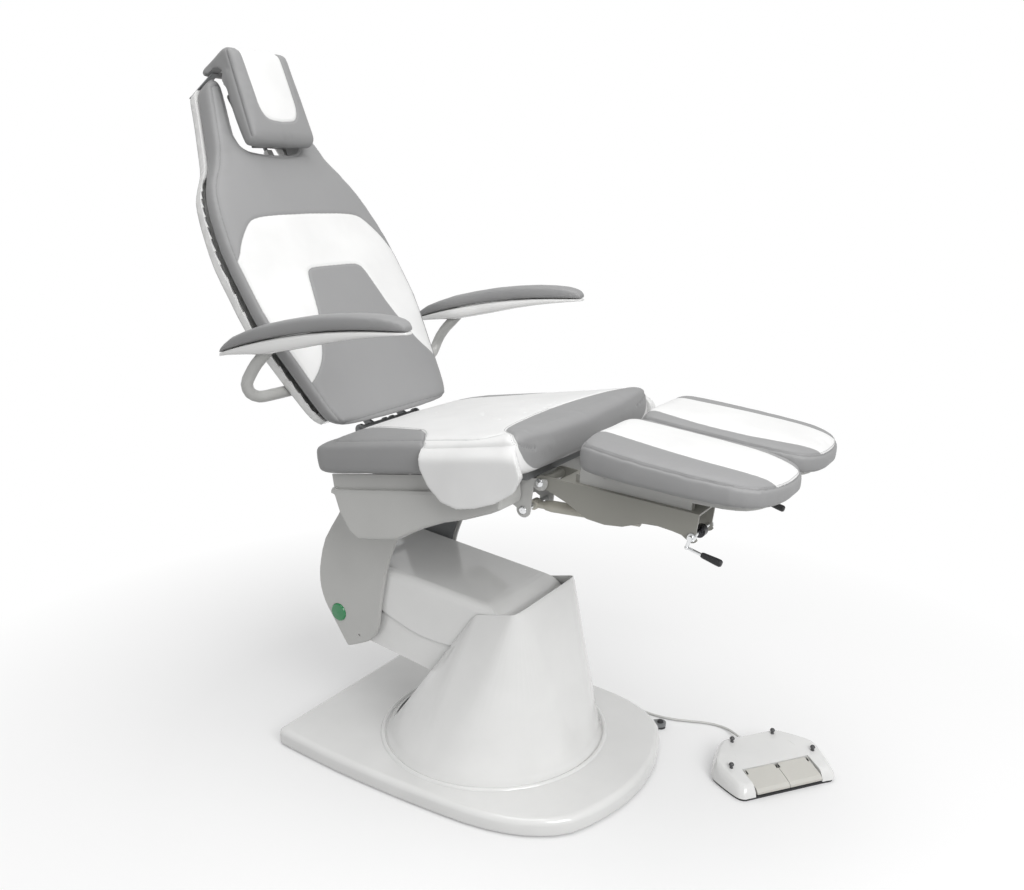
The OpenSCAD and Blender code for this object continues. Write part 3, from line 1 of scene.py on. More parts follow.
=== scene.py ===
import json
import math
import bpy
import numpy as np
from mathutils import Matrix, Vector
from mathutils.bvhtree import BVHTree
from mathutils.kdtree import KDTree


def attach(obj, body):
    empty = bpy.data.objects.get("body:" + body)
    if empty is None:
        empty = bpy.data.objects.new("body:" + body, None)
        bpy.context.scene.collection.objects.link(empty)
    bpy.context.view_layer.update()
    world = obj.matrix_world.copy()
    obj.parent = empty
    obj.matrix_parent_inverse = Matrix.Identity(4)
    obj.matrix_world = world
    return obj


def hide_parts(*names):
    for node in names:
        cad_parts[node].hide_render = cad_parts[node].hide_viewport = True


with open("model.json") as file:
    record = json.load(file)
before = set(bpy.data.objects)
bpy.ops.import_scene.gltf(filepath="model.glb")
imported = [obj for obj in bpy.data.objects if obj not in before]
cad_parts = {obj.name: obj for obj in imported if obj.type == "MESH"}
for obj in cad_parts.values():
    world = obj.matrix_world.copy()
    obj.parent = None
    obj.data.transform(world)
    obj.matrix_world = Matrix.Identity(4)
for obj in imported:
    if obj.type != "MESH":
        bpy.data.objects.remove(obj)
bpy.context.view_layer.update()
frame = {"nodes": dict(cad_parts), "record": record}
bodyOf = {node: body for body, nodes in frame["record"]["behaviour"]["bodies"].items() for node in nodes}
mm = 0.001

cameraLook = {"place": (-1.7706, -1.1709, 1.300), "toward": (0.8177, 0.5170, -0.2531), "lens": 34.28, "sensor": 36.0}


def addCamera():
    data = bpy.data.cameras.new("photoCamera")
    data.lens = cameraLook["lens"]
    data.sensor_width = cameraLook["sensor"]
    camera = bpy.data.objects.new("photoCamera", data)
    bpy.context.collection.objects.link(camera)
    camera.location = cameraLook["place"]
    camera.rotation_euler = Vector(cameraLook["toward"]).to_track_quat("-Z", "Y").to_euler()
    bpy.context.scene.camera = camera


# selecting, copying and finishing

def clearSelection():
    bpy.ops.object.select_all(action="DESELECT")


def makeActive(piece):
    clearSelection()
    piece.select_set(True)
    bpy.context.view_layer.objects.active = piece


def applyModifiers(piece):
    makeActive(piece)
    for modifier in list(piece.modifiers):
        bpy.ops.object.modifier_apply(modifier=modifier.name)


def settle(piece, name):  # puts the place into the mesh and names the piece
    makeActive(piece)
    bpy.ops.object.transform_apply(location=True, rotation=True, scale=True)
    piece.name = name
    piece.data.name = name
    return piece


def takeCopy(node, name):  # merged copy of a CAD node
    piece = bpy.data.objects.new(name, frame["nodes"][node].data.copy())
    bpy.context.collection.objects.link(piece)
    piece.data.materials.clear()
    makeActive(piece)
    bpy.ops.object.mode_set(mode="EDIT")
    bpy.ops.mesh.select_all(action="SELECT")
    bpy.ops.mesh.remove_doubles(threshold=0.00002)
    bpy.ops.object.mode_set(mode="OBJECT")
    return piece


def joinPieces(first, others):
    makeActive(first)
    for other in others:
        other.select_set(True)
    bpy.ops.object.join()
    return first


def pointsOf(piece, what="co"):
    flat = np.empty(len(piece.data.vertices) * 3)
    piece.data.vertices.foreach_get(what, flat)
    return flat.reshape(-1, 3)


def setPoints(piece, points):
    piece.data.vertices.foreach_set("co", np.asarray(points, float).ravel())
    piece.data.update()


def storeMask(piece, name, values):
    layer = piece.data.attributes.get(name) or piece.data.attributes.new(name, "FLOAT", "POINT")
    layer.data.foreach_set("value", np.asarray(values, np.float32))


def smoothAll(piece, degrees=40):
    makeActive(piece)
    bpy.ops.object.shade_smooth_by_angle(angle=math.radians(degrees))


def dressPiece(piece, material, body, nodes=()):
    piece.data.materials.clear()
    piece.data.materials.append(material)
    if nodes:
        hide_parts(*nodes)
    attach(piece, body)


# node groups and materials

def newGroup(name, inputs, outputs):
    group = bpy.data.node_groups.new(name, "ShaderNodeTree")
    for socket, value in inputs.items():
        made = group.interface.new_socket(socket, in_out="INPUT", socket_type="NodeSocketFloat")
        made.default_value = value
    for socket in outputs:
        group.interface.new_socket(socket, in_out="OUTPUT", socket_type="NodeSocketFloat")
    return group, group.nodes.new("NodeGroupInput"), group.nodes.new("NodeGroupOutput")


def addNode(tree, kind, values=None, **settings):
    node = tree.nodes.new(kind)
    for key, value in settings.items():
        setattr(node, key, value)
    for key, value in (values or {}).items():
        node.inputs[key].default_value = value
    return node


def mathNode(tree, operation, first, second=None, third=None):
    node = addNode(tree, "ShaderNodeMath", operation=operation)
    for index, value in enumerate((first, second, third)):
        if value is None:
            continue
        if isinstance(value, (int, float)):
            node.inputs[index].default_value = value
        else:
            tree.links.new(value, node.inputs[index])
    return node.outputs[0]


def makeLeatherGrain():  # pebbled grain with soft creases, and a slow change of tone
    group, start, end = newGroup("leatherGrain", {"Pebble": 620.0, "Crease": 0.35}, ["Height", "Tone"])
    place = addNode(group, "ShaderNodeTexCoord").outputs["Object"]
    pebble = addNode(group, "ShaderNodeTexVoronoi", {"Randomness": 0.9}, feature="SMOOTH_F1")
    crease = addNode(group, "ShaderNodeTexNoise", {"Scale": 95.0, "Detail": 4.0, "Distortion": 0.6})
    slow = addNode(group, "ShaderNodeTexNoise", {"Scale": 7.0, "Detail": 3.0})
    for node in (pebble, crease, slow):
        group.links.new(place, node.inputs["Vector"])
    group.links.new(start.outputs["Pebble"], pebble.inputs["Scale"])
    folded = mathNode(group, "MULTIPLY", crease.outputs[0], start.outputs["Crease"])
    group.links.new(mathNode(group, "ADD", folded, pebble.outputs["Distance"]), end.inputs["Height"])
    group.links.new(slow.outputs[0], end.inputs["Tone"])
    return group


def makeShellSkin():  # faint orange peel, slow gloss change and fine scuffs of moulded or painted shells
    group, start, end = newGroup("shellSkin", {"Peel": 420.0, "Scuff": 0.62}, ["Height", "Gloss", "Wear"])
    place = addNode(group, "ShaderNodeTexCoord").outputs["Object"]
    peel = addNode(group, "ShaderNodeTexNoise", {"Detail": 2.0})
    slow = addNode(group, "ShaderNodeTexNoise", {"Scale": 9.0, "Detail": 4.0})
    scuff = addNode(group, "ShaderNodeTexNoise", {"Scale": 34.0, "Detail": 8.0, "Roughness": 0.7, "Distortion": 1.4})
    for node in (peel, slow, scuff):
        group.links.new(place, node.inputs["Vector"])
    group.links.new(start.outputs["Peel"], peel.inputs["Scale"])
    over = mathNode(group, "SUBTRACT", scuff.outputs[0], start.outputs["Scuff"])
    wear = addNode(group, "ShaderNodeMath", operation="MULTIPLY", use_clamp=True)
    wear.inputs[1].default_value = 6.0
    group.links.new(over, wear.inputs[0])
    group.links.new(peel.outputs[0], end.inputs["Height"])
    group.links.new(slow.outputs[0], end.inputs["Gloss"])
    group.links.new(wear.outputs[0], end.inputs["Wear"])
    return group


def startMaterial(name):
    material = bpy.data.materials.new(name)
    material.use_nodes = True
    tree = material.node_tree
    return material, tree, tree.nodes["Principled BSDF"]


def mixColours(tree, factor, first, second):
    node = addNode(tree, "ShaderNodeMix", data_type="RGBA")
    for socket, value in ((node.inputs[6], first), (node.inputs[7], second)):
        if isinstance(value, tuple):
            socket.default_value = (*value, 1.0)
        else:
            tree.links.new(value, socket)
    if isinstance(factor, float):
        node.inputs[0].default_value = factor
    else:
        tree.links.new(factor, node.inputs[0])
    return node.outputs[2]


def readMask(tree, name):
    return addNode(tree, "ShaderNodeAttribute", attribute_name=name).outputs["Fac"]


def rangeOf(tree, value, low, high, outLow=0.0, outHigh=1.0):
    node = addNode(tree, "ShaderNodeMapRange",
                   {"From Min": low, "From Max": high, "To Min": outLow, "To Max": outHigh})
    tree.links.new(value, node.inputs["Value"])
    return node.outputs[0]


def bumpFrom(tree, shader, height, strength, distance):
    bump = addNode(tree, "ShaderNodeBump", {"Strength": strength, "Distance": distance})
    tree.links.new(height, bump.inputs["Height"])
    tree.links.new(bump.outputs[0], shader.inputs["Normal"])


def makeLeather(name, colour, look, panelColour=None):
    material, tree, shader = startMaterial(name)
    grain = addNode(tree, "ShaderNodeGroup", node_tree=leatherGrain)
    grain.inputs["Pebble"].default_value = look["pebble"]
    grain.inputs["Crease"].default_value = look["crease"]
    base = colour
    if panelColour:
        panel = rangeOf(tree, readMask(tree, "panel"), -0.25, 0.25)
        base = mixColours(tree, panel, colour, panelColour)
    shade = mixColours(tree, rangeOf(tree, grain.outputs["Tone"], 0.3, 0.7, 0.0, look["tone"]), base, look["shade"])
    seam = rangeOf(tree, readMask(tree, "seam"), 0.35, 1.0, 0.0, look["seamDark"])
    tree.links.new(mixColours(tree, seam, shade, look["seamColour"]), shader.inputs["Base Color"])
    tree.links.new(rangeOf(tree, grain.outputs["Tone"], 0.3, 0.7, look["rough"] - 0.05, look["rough"] + 0.05),
                   shader.inputs["Roughness"])
    bumpFrom(tree, shader, grain.outputs["Height"], look["bump"], 0.0004)
    shader.inputs["Specular IOR Level"].default_value = look["specular"]
    shader.inputs["Sheen Weight"].default_value = 0.05
    return material


def makeShell(name, colour, look):
    material, tree, shader = startMaterial(name)
    skin = addNode(tree, "ShaderNodeGroup", node_tree=shellSkin)
    skin.inputs["Peel"].default_value = look.get("peel", 420.0)
    skin.inputs["Scuff"].default_value = look.get("scuff", 0.66)
    worn = tuple(c * look.get("wornShare", 0.93) for c in colour)
    faded = mixColours(tree, rangeOf(tree, skin.outputs["Gloss"], 0.35, 0.7, 0.0, 0.6), colour, worn)
    tree.links.new(mixColours(tree, rangeOf(tree, skin.outputs["Wear"], 0.0, 1.0, 0.0, 0.25), faded,
                              look.get("scuffColour", worn)), shader.inputs["Base Color"])
    rough = rangeOf(tree, skin.outputs["Gloss"], 0.3, 0.75, look["rough"] - 0.03, look["rough"] + 0.06)
    tree.links.new(mathNode(tree, "ADD", rough, rangeOf(tree, skin.outputs["Wear"], 0.0, 1.0, 0.0, 0.12)),
                   shader.inputs["Roughness"])
    bumpFrom(tree, shader, skin.outputs["Height"], look.get("bump", 0.05), 0.0003)
    shader.inputs["Metallic"].default_value = look.get("metal", 0.0)
    shader.inputs["Coat Weight"].default_value = look.get("coat", 0.0)
    shader.inputs["Coat Roughness"].default_value = 0.06
    return material


def makeLens(name, colour):
    material, tree, shader = startMaterial(name)
    skin = addNode(tree, "ShaderNodeGroup", node_tree=shellSkin)
    deep = tuple(c * 0.55 for c in colour)
    tree.links.new(mixColours(tree, skin.outputs["Gloss"], deep, colour), shader.inputs["Base Color"])
    shader.inputs["Roughness"].default_value = 0.12
    shader.inputs["Coat Weight"].default_value = 0.8
    shader.inputs["Emission Color"].default_value = (*colour, 1.0)
    shader.inputs["Emission Strength"].default_value = 0.3
    return material


leatherGrain = makeLeatherGrain()
shellSkin = makeShellSkin()
greyLeatherLook = {"pebble": 620.0, "crease": 0.35, "tone": 0.12, "shade": (0.22, 0.22, 0.22), "seamDark": 0.5,
                   "seamColour": (0.12, 0.12, 0.12), "rough": 0.46, "bump": 0.28, "specular": 0.42}
greyTone = (0.29, 0.29, 0.292)
whiteTone = (0.80, 0.80, 0.795)
leather = makeLeather("greyLeather", greyTone, greyLeatherLook)
twoTone = makeLeather("greyAndWhiteLeather", greyTone, greyLeatherLook, whiteTone)
glossShell = makeShell("glossShell", (0.80, 0.80, 0.79), {"rough": 0.13, "coat": 0.7, "bump": 0.03})
paintedShell = makeShell("paintedShell", (0.53, 0.53, 0.515), {"rough": 0.34, "coat": 0.2, "bump": 0.05})
# painted shade: a darker copy of the panel paint for the leg channels, whose sides lie in shade under the leg cushions
shadedChannelPaint = makeShell("shadedChannelPaint", (0.30, 0.295, 0.265), {"rough": 0.36, "coat": 0.15, "bump": 0.05})
paintedTube = makeShell("paintedTube", (0.50, 0.50, 0.485), {"rough": 0.36, "coat": 0.1})
frameSteel = makeShell("frameSteel", (0.24, 0.245, 0.25), {"rough": 0.45, "metal": 0.3, "bump": 0.1})
chrome = makeShell("polishedChrome", (0.80, 0.81, 0.82), {"rough": 0.08, "metal": 1.0, "bump": 0.02})
rubber = makeShell("blackRubber", (0.022, 0.022, 0.024), {"rough": 0.55, "bump": 0.15, "peel": 900.0})
motorPlastic = makeShell("motorPlastic", (0.03, 0.03, 0.032), {"rough": 0.5, "bump": 0.1})
springPaint = makeShell("springPaint", (0.56, 0.54, 0.47), {"rough": 0.3, "coat": 0.2})
rodSteel = makeShell("rodSteel", (0.06, 0.06, 0.065), {"rough": 0.22, "metal": 0.9})
pedalPlastic = makeShell("pedalPlastic", (0.60, 0.59, 0.55), {"rough": 0.42, "bump": 0.12, "peel": 700.0})
cordJacket = makeShell("cordJacket", (0.62, 0.62, 0.60), {"rough": 0.4})
knobPlastic = makeShell("knobPlastic", (0.055, 0.055, 0.058), {"rough": 0.22, "coat": 0.6, "bump": 0.03})
greenLens = makeLens("greenLens", (0.002, 0.19, 0.055))
print("materials made")

# the cord of the foot control lies on the floor

cordFacts = {"radius": 0.003, "exit": (0.320, 0.390, 0.014), "length": 1.1}
cordRoute = [(320, 390, 14), (345, 390, 13), (372, 389, 9), (400, 386, 5), (430, 376, 3), (458, 356, 3),
             (478, 328, 3), (488, 295, 3), (487, 260, 3), (477, 226, 3), (461, 192, 3), (442, 158, 3), (421, 122, 3),
             (401, 84, 3), (384, 44, 3), (370, 2, 3), (358, -42, 3), (348, -84, 3), (340, -126, 3), (330, -170, 3),
             (321, -212, 3), (314, -252, 3), (312, -292, 3), (318, -332, 3), (331, -370, 3), (344, -404, 3),
             (350, -436, 3), (344, -466, 5), (329, -487, 9), (313, -503, 14), (299.5, -516.4, 16)]


def layCord():
    curve = bpy.data.curves.new("footCord", "CURVE")
    curve.dimensions = "3D"
    curve.bevel_depth = cordFacts["radius"]
    curve.bevel_resolution = 4
    curve.use_fill_caps = True
    spline = curve.splines.new("BEZIER")
    spline.bezier_points.add(len(cordRoute) - 1)
    for point, place in zip(spline.bezier_points, cordRoute):
        point.co = Vector(place) * mm
        point.handle_left_type = point.handle_right_type = "AUTO"
    cord = bpy.data.objects.new("footCord", curve)
    bpy.context.collection.objects.link(cord)
    cord.data.materials.append(cordJacket)
    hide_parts("foot_cord")
    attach(cord, "base")


addCamera()
layCord()
print("camera and cord placed")


# places of the tilted parts: across is X, along and up are their own directions, all in millimetres

def makePlacing(origin, along, up):
    return {"origin": np.array(origin), "along": np.array(along), "up": np.array(up)}


def tiltedPlacing(origin, degrees):  # along runs to the front, dropping or rising by some degrees
    a = math.radians(degrees)
    return makePlacing(origin, (0, -math.cos(a), math.sin(a)), (0, math.sin(a), math.cos(a)))


seatPlacing = tiltedPlacing((0, 262, 684), 8.5)
legPlacing = tiltedPlacing((0, -231, 740), -3.77)
recline = math.radians(32)
backPlacing = makePlacing((0, 249, 779), (0, math.sin(recline), math.cos(recline)),
                          (0, -math.cos(recline), math.sin(recline)))


def toLocal(points, placing):
    rest = np.asarray(points) / mm - placing["origin"]
    return np.stack([rest[:, 0], rest @ placing["along"], rest @ placing["up"]], 1)


def toWorld(local, placing):
    local = np.asarray(local, float)
    x = np.outer(local[:, 0], (1, 0, 0))
    y = np.outer(local[:, 1], placing["along"])
    return (placing["origin"] + x + y + np.outer(local[:, 2], placing["up"])) * mm


def mirrored(points):  # full outline from its right half, from top centre to bottom centre
    return list(points) + [(-x, y) for x, y in reversed(points)]


def roundOff(points, passes=2, closed=True):
    points = [tuple(p) for p in points]
    for _ in range(passes):
        count = len(points)
        cut = []
        for i in range(count if closed else count - 1):
            a, b = np.array(points[i]), np.array(points[(i + 1) % count])
            cut += [tuple(0.75 * a + 0.25 * b), tuple(0.25 * a + 0.75 * b)]
        points = cut if closed else [points[0]] + cut + [points[-1]]
    return points


def evenly(points, step, closed=True):
    line = np.array(list(points) + ([points[0]] if closed else []), float)
    run = np.concatenate([[0], np.cumsum(np.linalg.norm(np.diff(line, axis=0), axis=1))])
    count = max(2, int(run[-1] / step))
    at = np.linspace(0, run[-1], count + (0 if closed else 1), endpoint=not closed)
    return np.stack([np.interp(at, run, line[:, k]) for k in range(line.shape[1])], 1)


def signedDistance(points, outline):  # positive inside the outline
    best = np.full(len(points), 1e9)
    inside = np.zeros(len(points), bool)
    line = np.array(outline, float)
    for p, q in zip(line, np.roll(line, -1, axis=0)):
        d = q - p
        t = np.clip(((points - p) @ d) / max(d @ d, 1e-9), 0, 1)
        best = np.minimum(best, np.hypot(*(points - p - t[:, None] * d).T))
        crosses = (p[1] > points[:, 1]) != (q[1] > points[:, 1])
        rise = d[1] if abs(d[1]) > 1e-9 else 1e-9
        inside ^= crosses & (points[:, 0] < p[0] + (points[:, 1] - p[1]) * d[0] / rise)
    return np.where(inside, best, -best)


def surfaceOf(piece):
    bpy.context.view_layer.update()
    return BVHTree.FromPolygons([v.co for v in piece.data.vertices], [p.vertices for p in piece.data.polygons])


def castLine(tree, starts, directions):
    found = []
    for start, direction in zip(starts, directions):
        hit = tree.ray_cast(Vector(start), Vector(direction).normalized())
        if hit[0] is not None:
            found.append((hit[0], hit[1]))
    return found


def castDown(tree, flat, placing, height):  # from a height along the placing's up, onto the piece
    starts = toWorld([(p[0], p[1], height) for p in flat], placing)
    return castLine(tree, starts, np.tile(-placing["up"], (len(flat), 1)))


def seamOnTop(tree, outline, placing, step=2.5, closed=True, height=200.0):
    return castDown(tree, evenly(outline, step, closed), placing, height)


def seamRound(tree, outline, placing, height, step=2.5, out=60.0):  # outline from above, at one height on the sides
    flat = evenly(outline, step)
    turn = np.roll(flat, -1, axis=0) - np.roll(flat, 1, axis=0)
    normal = np.stack([turn[:, 1], -turn[:, 0]], 1) / np.linalg.norm(turn, axis=1)[:, None]
    if signedDistance(flat[:1] + normal[:1] * 3, flat)[0] > 0:
        normal = -normal
    level = np.array([height(a) if callable(height) else height for a in flat[:, 1]])
    starts = toWorld(np.column_stack([flat + normal * out, level]), placing)
    inward = -(np.outer(normal[:, 0], (1, 0, 0)) + np.outer(normal[:, 1], placing["along"]))
    return castLine(tree, starts, inward)


def pressSeams(piece, seams, depth=2.0, width=4.0):  # sinks the seams and marks them for the leather
    points, normals = pointsOf(piece), pointsOf(piece, "normal")
    spots = [hit[0] for seam in seams for hit in seam]
    tree = KDTree(len(spots))
    for index, spot in enumerate(spots):
        tree.insert(spot, index)
    tree.balance()
    away = np.array([tree.find(p)[2] for p in points.tolist()]) / mm
    close = np.exp(-(away / width) ** 2)
    setPoints(piece, points - normals * (close * depth * mm)[:, None])
    storeMask(piece, "seam", np.exp(-(away / 2.2) ** 2))


stitchShape = {"length": 3.0, "pitch": 4.6, "thick": 0.55, "sink": 0.1}


def modelStitch():  # one thread stitch, a flattened bead along X
    clearSelection()
    bpy.ops.mesh.primitive_uv_sphere_add(segments=6, ring_count=4, radius=1.0)
    stitch = bpy.context.object
    stitch.scale = (stitchShape["length"] * mm / 2, stitchShape["thick"] * mm, stitchShape["thick"] * mm)
    settle(stitch, "stitchPattern")
    shape = pointsOf(stitch), [tuple(p.vertices) for p in stitch.data.polygons]
    bpy.data.objects.remove(stitch)
    return shape


stitchPoints, stitchFaces = modelStitch()


def sewRow(name, piece, seams, offset, thread, body, closed=True):
    tree = surfaceOf(piece)
    points, faces = [], []
    for seam in seams:
        line = np.array([hit[0] for hit in seam])
        if len(line) < 4:
            continue
        flow = np.roll(line, -1, axis=0) - np.roll(line, 1, axis=0)
        side = np.cross(flow, np.array([hit[1] for hit in seam]))
        side /= np.linalg.norm(side, axis=1)[:, None] + 1e-12
        shifted = evenly(line + side * offset * mm, stitchShape["pitch"] * mm, closed)
        for i in range(1, len(shifted) - 1):
            near, normal, _, gap = tree.find_nearest(Vector(shifted[i]))
            if near is None or gap > 0.008:
                continue
            x = Vector(shifted[i + 1] - shifted[i - 1])
            x = (x - normal * x.dot(normal)).normalized()
            y = normal.cross(x)
            turn = np.array([x, y, normal])
            spot = np.array(near + normal * (stitchShape["thick"] - stitchShape["sink"]) * mm * 0.4)
            base = len(points) * len(stitchPoints)
            points.append(stitchPoints @ turn + spot)
            faces += [tuple(base + k for k in face) for face in stitchFaces]
    mesh = bpy.data.meshes.new(name)
    mesh.from_pydata(np.concatenate(points).tolist(), [], faces)
    sewn = bpy.data.objects.new(name, mesh)
    bpy.context.collection.objects.link(sewn)
    smoothAll(sewn, 80)
    dressPiece(sewn, thread, body)
    return sewn


clothLook = {"quality": 5, "mass": 0.4, "tension": 25, "bending": 2.0, "pressure": 4.0, "frames": 20,
             "startShare": 0.4}


def puffPad(piece, cap):  # cloth under a little pressure, held to a few millimetres of its pattern
    scene = bpy.context.scene
    before = pointsOf(piece)
    cloth = piece.modifiers.new("padding", "CLOTH")
    cloth.settings.quality = clothLook["quality"]
    cloth.settings.mass = clothLook["mass"]
    cloth.settings.tension_stiffness = clothLook["tension"]
    cloth.settings.bending_stiffness = clothLook["bending"]
    cloth.settings.use_pressure = True
    cloth.settings.uniform_pressure_force = clothLook["pressure"]
    cloth.settings.effector_weights.gravity = 0.0
    for step in range(1, clothLook["frames"] + 1):
        scene.frame_set(step)
    evaluated = piece.evaluated_get(bpy.context.evaluated_depsgraph_get())
    flat = np.empty(len(evaluated.data.vertices) * 3)
    evaluated.data.vertices.foreach_get("co", flat)
    move = flat.reshape(-1, 3) - before
    piece.modifiers.remove(cloth)
    scene.frame_set(1)
    size = np.linalg.norm(move, axis=1) + 1e-12
    setPoints(piece, before + move * np.minimum(1.0, cap * mm / size)[:, None])


def padFrom(name, nodes, voxel, cap, shape=None, smoothing=3, levels=1):
    parts = [takeCopy(node, name) for node in nodes]
    pad = joinPieces(parts[0], parts[1:]) if len(parts) > 1 else parts[0]
    pad.name = name
    if shape:
        shape(pad)
    remesh = pad.modifiers.new("skin", "REMESH")
    remesh.mode = "VOXEL"
    remesh.voxel_size = voxel * mm
    applyModifiers(pad)
    if cap:
        setPoints(pad, pointsOf(pad) - pointsOf(pad, "normal") * cap * clothLook["startShare"] * mm)
        puffPad(pad, cap)
    ease = pad.modifiers.new("ease", "SMOOTH")
    ease.factor = 0.5
    ease.iterations = smoothing
    if levels:
        finer = pad.modifiers.new("finer", "SUBSURF")
        finer.levels = finer.render_levels = levels
    applyModifiers(pad)
    makeActive(pad)
    bpy.ops.object.shade_smooth()
    return pad


# seat: white top that runs over both sides into the flaps

seatLook = {"voxel": 5.0, "cap": 1.5, "shoulder": 98.0, "halfWidth": 295.0, "seamHeight": 92.0, "flapVoxel": 2.2,
            "flapSink": 4.0, "layFrom": 45.0, "layOver": 40.0, "seamDepth": 2.2, "stitchOffset": 3.6}
seatPanel = [(0, 430), (80, 433), (150, 441), (200, 451), (232, 466), (252, 486), (270, 506), (292, 519), (315, 524),
             (345, 528), (380, 532), (404, 514), (418, 488), (430, 450), (436, 395), (428, 356), (397, 325), (376, 311),
             (355, 304), (325, 304), (300, 302), (272, 294), (240, 275), (212, 242), (190, 150), (175, 67), (175, -60),
             (0, -60)]
seatRim = [(0, 523), (230, 523), (272, 517), (289, 500), (292, 440), (292, 60), (286, 20), (268, 5), (0, 3)]


def unrolled(local):  # distance from the middle over the top and down the side
    return np.stack([np.abs(local[:, 0]) + np.maximum(0, seatLook["shoulder"] - local[:, 2]), local[:, 1]], 1)


def tuckFlaps(flaps, cushion):  # lays the flaps' top on the cushion and sinks their inner face into it
    tree = surfaceOf(cushion)
    local = toLocal(pointsOf(flaps), seatPlacing)
    proud = np.abs(local[:, 0]) - seatLook["halfWidth"]
    inner = proud < 2.2
    sunk = inner * np.clip((local[:, 2] - 4) / 10, 0, 1) * seatLook["flapSink"]
    local[:, 0] -= np.sign(local[:, 0]) * sunk
    points = toWorld(local, seatPlacing)
    fade = np.clip((local[:, 2] - seatLook["layFrom"]) / seatLook["layOver"], 0, 1)
    share = fade * fade * (3 - 2 * fade)
    for index in np.nonzero(share)[0]:
        near, normal, _, _ = tree.find_nearest(Vector(points[index]))
        lift = -seatLook["flapSink"] if inner[index] else proud[index] * (1 - share[index]) - 0.4 * share[index]
        points[index] += (np.array(near + normal * lift * mm) - points[index]) * share[index]
    setPoints(flaps, points)


def castUnrolled(tree, outline, sign):
    flat = evenly(outline, 2.5, False)
    starts, ways = [], []
    for q, s in flat:
        lean = min(1.0, max(0.0, (q - 278.0) / 34.0)) * math.pi / 2
        x = min(q, seatLook["halfWidth"])
        t = seatLook["shoulder"] - max(0.0, q - seatLook["halfWidth"])
        out = np.array([math.sin(lean), 0.0, math.cos(lean)])
        start = np.array([x, s, t]) + out * 90.0
        starts.append((sign * start[0], start[1], start[2]))
        ways.append((-sign * out[0], 0.0, -out[2]))
    ways = np.array(ways)
    directions = np.outer(ways[:, 0], (1, 0, 0)) + np.outer(ways[:, 2], seatPlacing["up"])
    return castLine(tree, toWorld(starts, seatPlacing), directions)


def makeSeat():
    pad = padFrom("seatCushion", ["seat_cushion"], seatLook["voxel"], seatLook["cap"], None, 2)
    flaps = padFrom("seatFlaps", ["seat_flaps"], seatLook["flapVoxel"], 0, None, 5, 0)
    tuckFlaps(flaps, pad)
    tree = surfaceOf(pad)
    outline = roundOff(seatPanel, 1, False)
    front = [p for p in outline if p[1] > 425 and p[0] < 352]
    rear = [p for p in outline if p[1] < 330 and p[1] > -5 and p[0] < 372]
    edges = [castUnrolled(tree, line, sign) for line in (front, rear) for sign in (1, -1)]
    rim = seamRound(tree, roundOff(mirrored(seatRim), 1), seatPlacing,
                    lambda s: seatLook["seamHeight"] + 20 * max(0, (s - 400) / 130) ** 2, out=80.0)
    rim = [hit for hit in rim if not (abs(hit[0][0]) > 0.288 and hit[0].y > -0.255 and hit[0].y < -0.036)]
    pressSeams(pad, edges + [rim], seatLook["seamDepth"])
    local = toLocal(pointsOf(pad), seatPlacing)
    panel = signedDistance(unrolled(local), seatPanel)
    storeMask(pad, "panel", panel)
    dressPiece(pad, twoTone, "seat", ("seat_cushion",))
    storeMask(flaps, "panel", np.full(len(flaps.data.vertices), 4.0))
    storeMask(flaps, "seam", np.zeros(len(flaps.data.vertices)))
    dressPiece(flaps, twoTone, "seat", ("seat_flaps",))
    sewRow("seatStitching", pad, edges, seatLook["stitchOffset"], leather, "seat", False)
    print("seat made")


# back: grey frame with a white arch

backLook = {"voxel": 6.0, "cap": 1.5, "seamInset": 12.0, "seamDepth": 2.0, "halfWidth": 277.0, "length": 918.0}
backSides = [(0.015, 0.70), (0.03, 0.745), (0.065, 0.79), (0.13, 0.84), (0.22, 0.91), (0.32, 0.99), (0.42, 1), (0.5, 1),
             (0.57, 0.965), (0.63, 0.92), (0.68, 0.865), (0.72, 0.78), (0.76, 0.68), (0.80, 0.62), (0.85, 0.555),
             (0.90, 0.49), (0.95, 0.43), (0.985, 0.385)]
notchSides = [(0.985, 0.22), (0.93, 0.26), (0.88, 0.31), (0.83, 0.35), (0.80, 0.33), (0.782, 0.24), (0.774, 0.12),
              (0.772, 0)]
backPanel = [(0, 543), (130, 541), (168, 538), (190, 530), (214, 508), (237, 482), (256, 451), (280, 426), (330, 395),
             (330, 100), (250, 122), (225, 133), (192, 160), (170, 186), (157, 212), (126, 275), (108, 345), (99, 380),
             (90, 396), (70, 402), (0, 402)]


def insetOutline(points, distance):
    line = np.array(points, float)
    turn = np.roll(line, -1, axis=0) - np.roll(line, 1, axis=0)
    normal = np.stack([turn[:, 1], -turn[:, 0]], 1) / (np.linalg.norm(turn, axis=1)[:, None] + 1e-9)
    if signedDistance(line[:1] + normal[:1] * 2, line)[0] < 0:
        normal = -normal
    return (line + normal * distance).tolist()


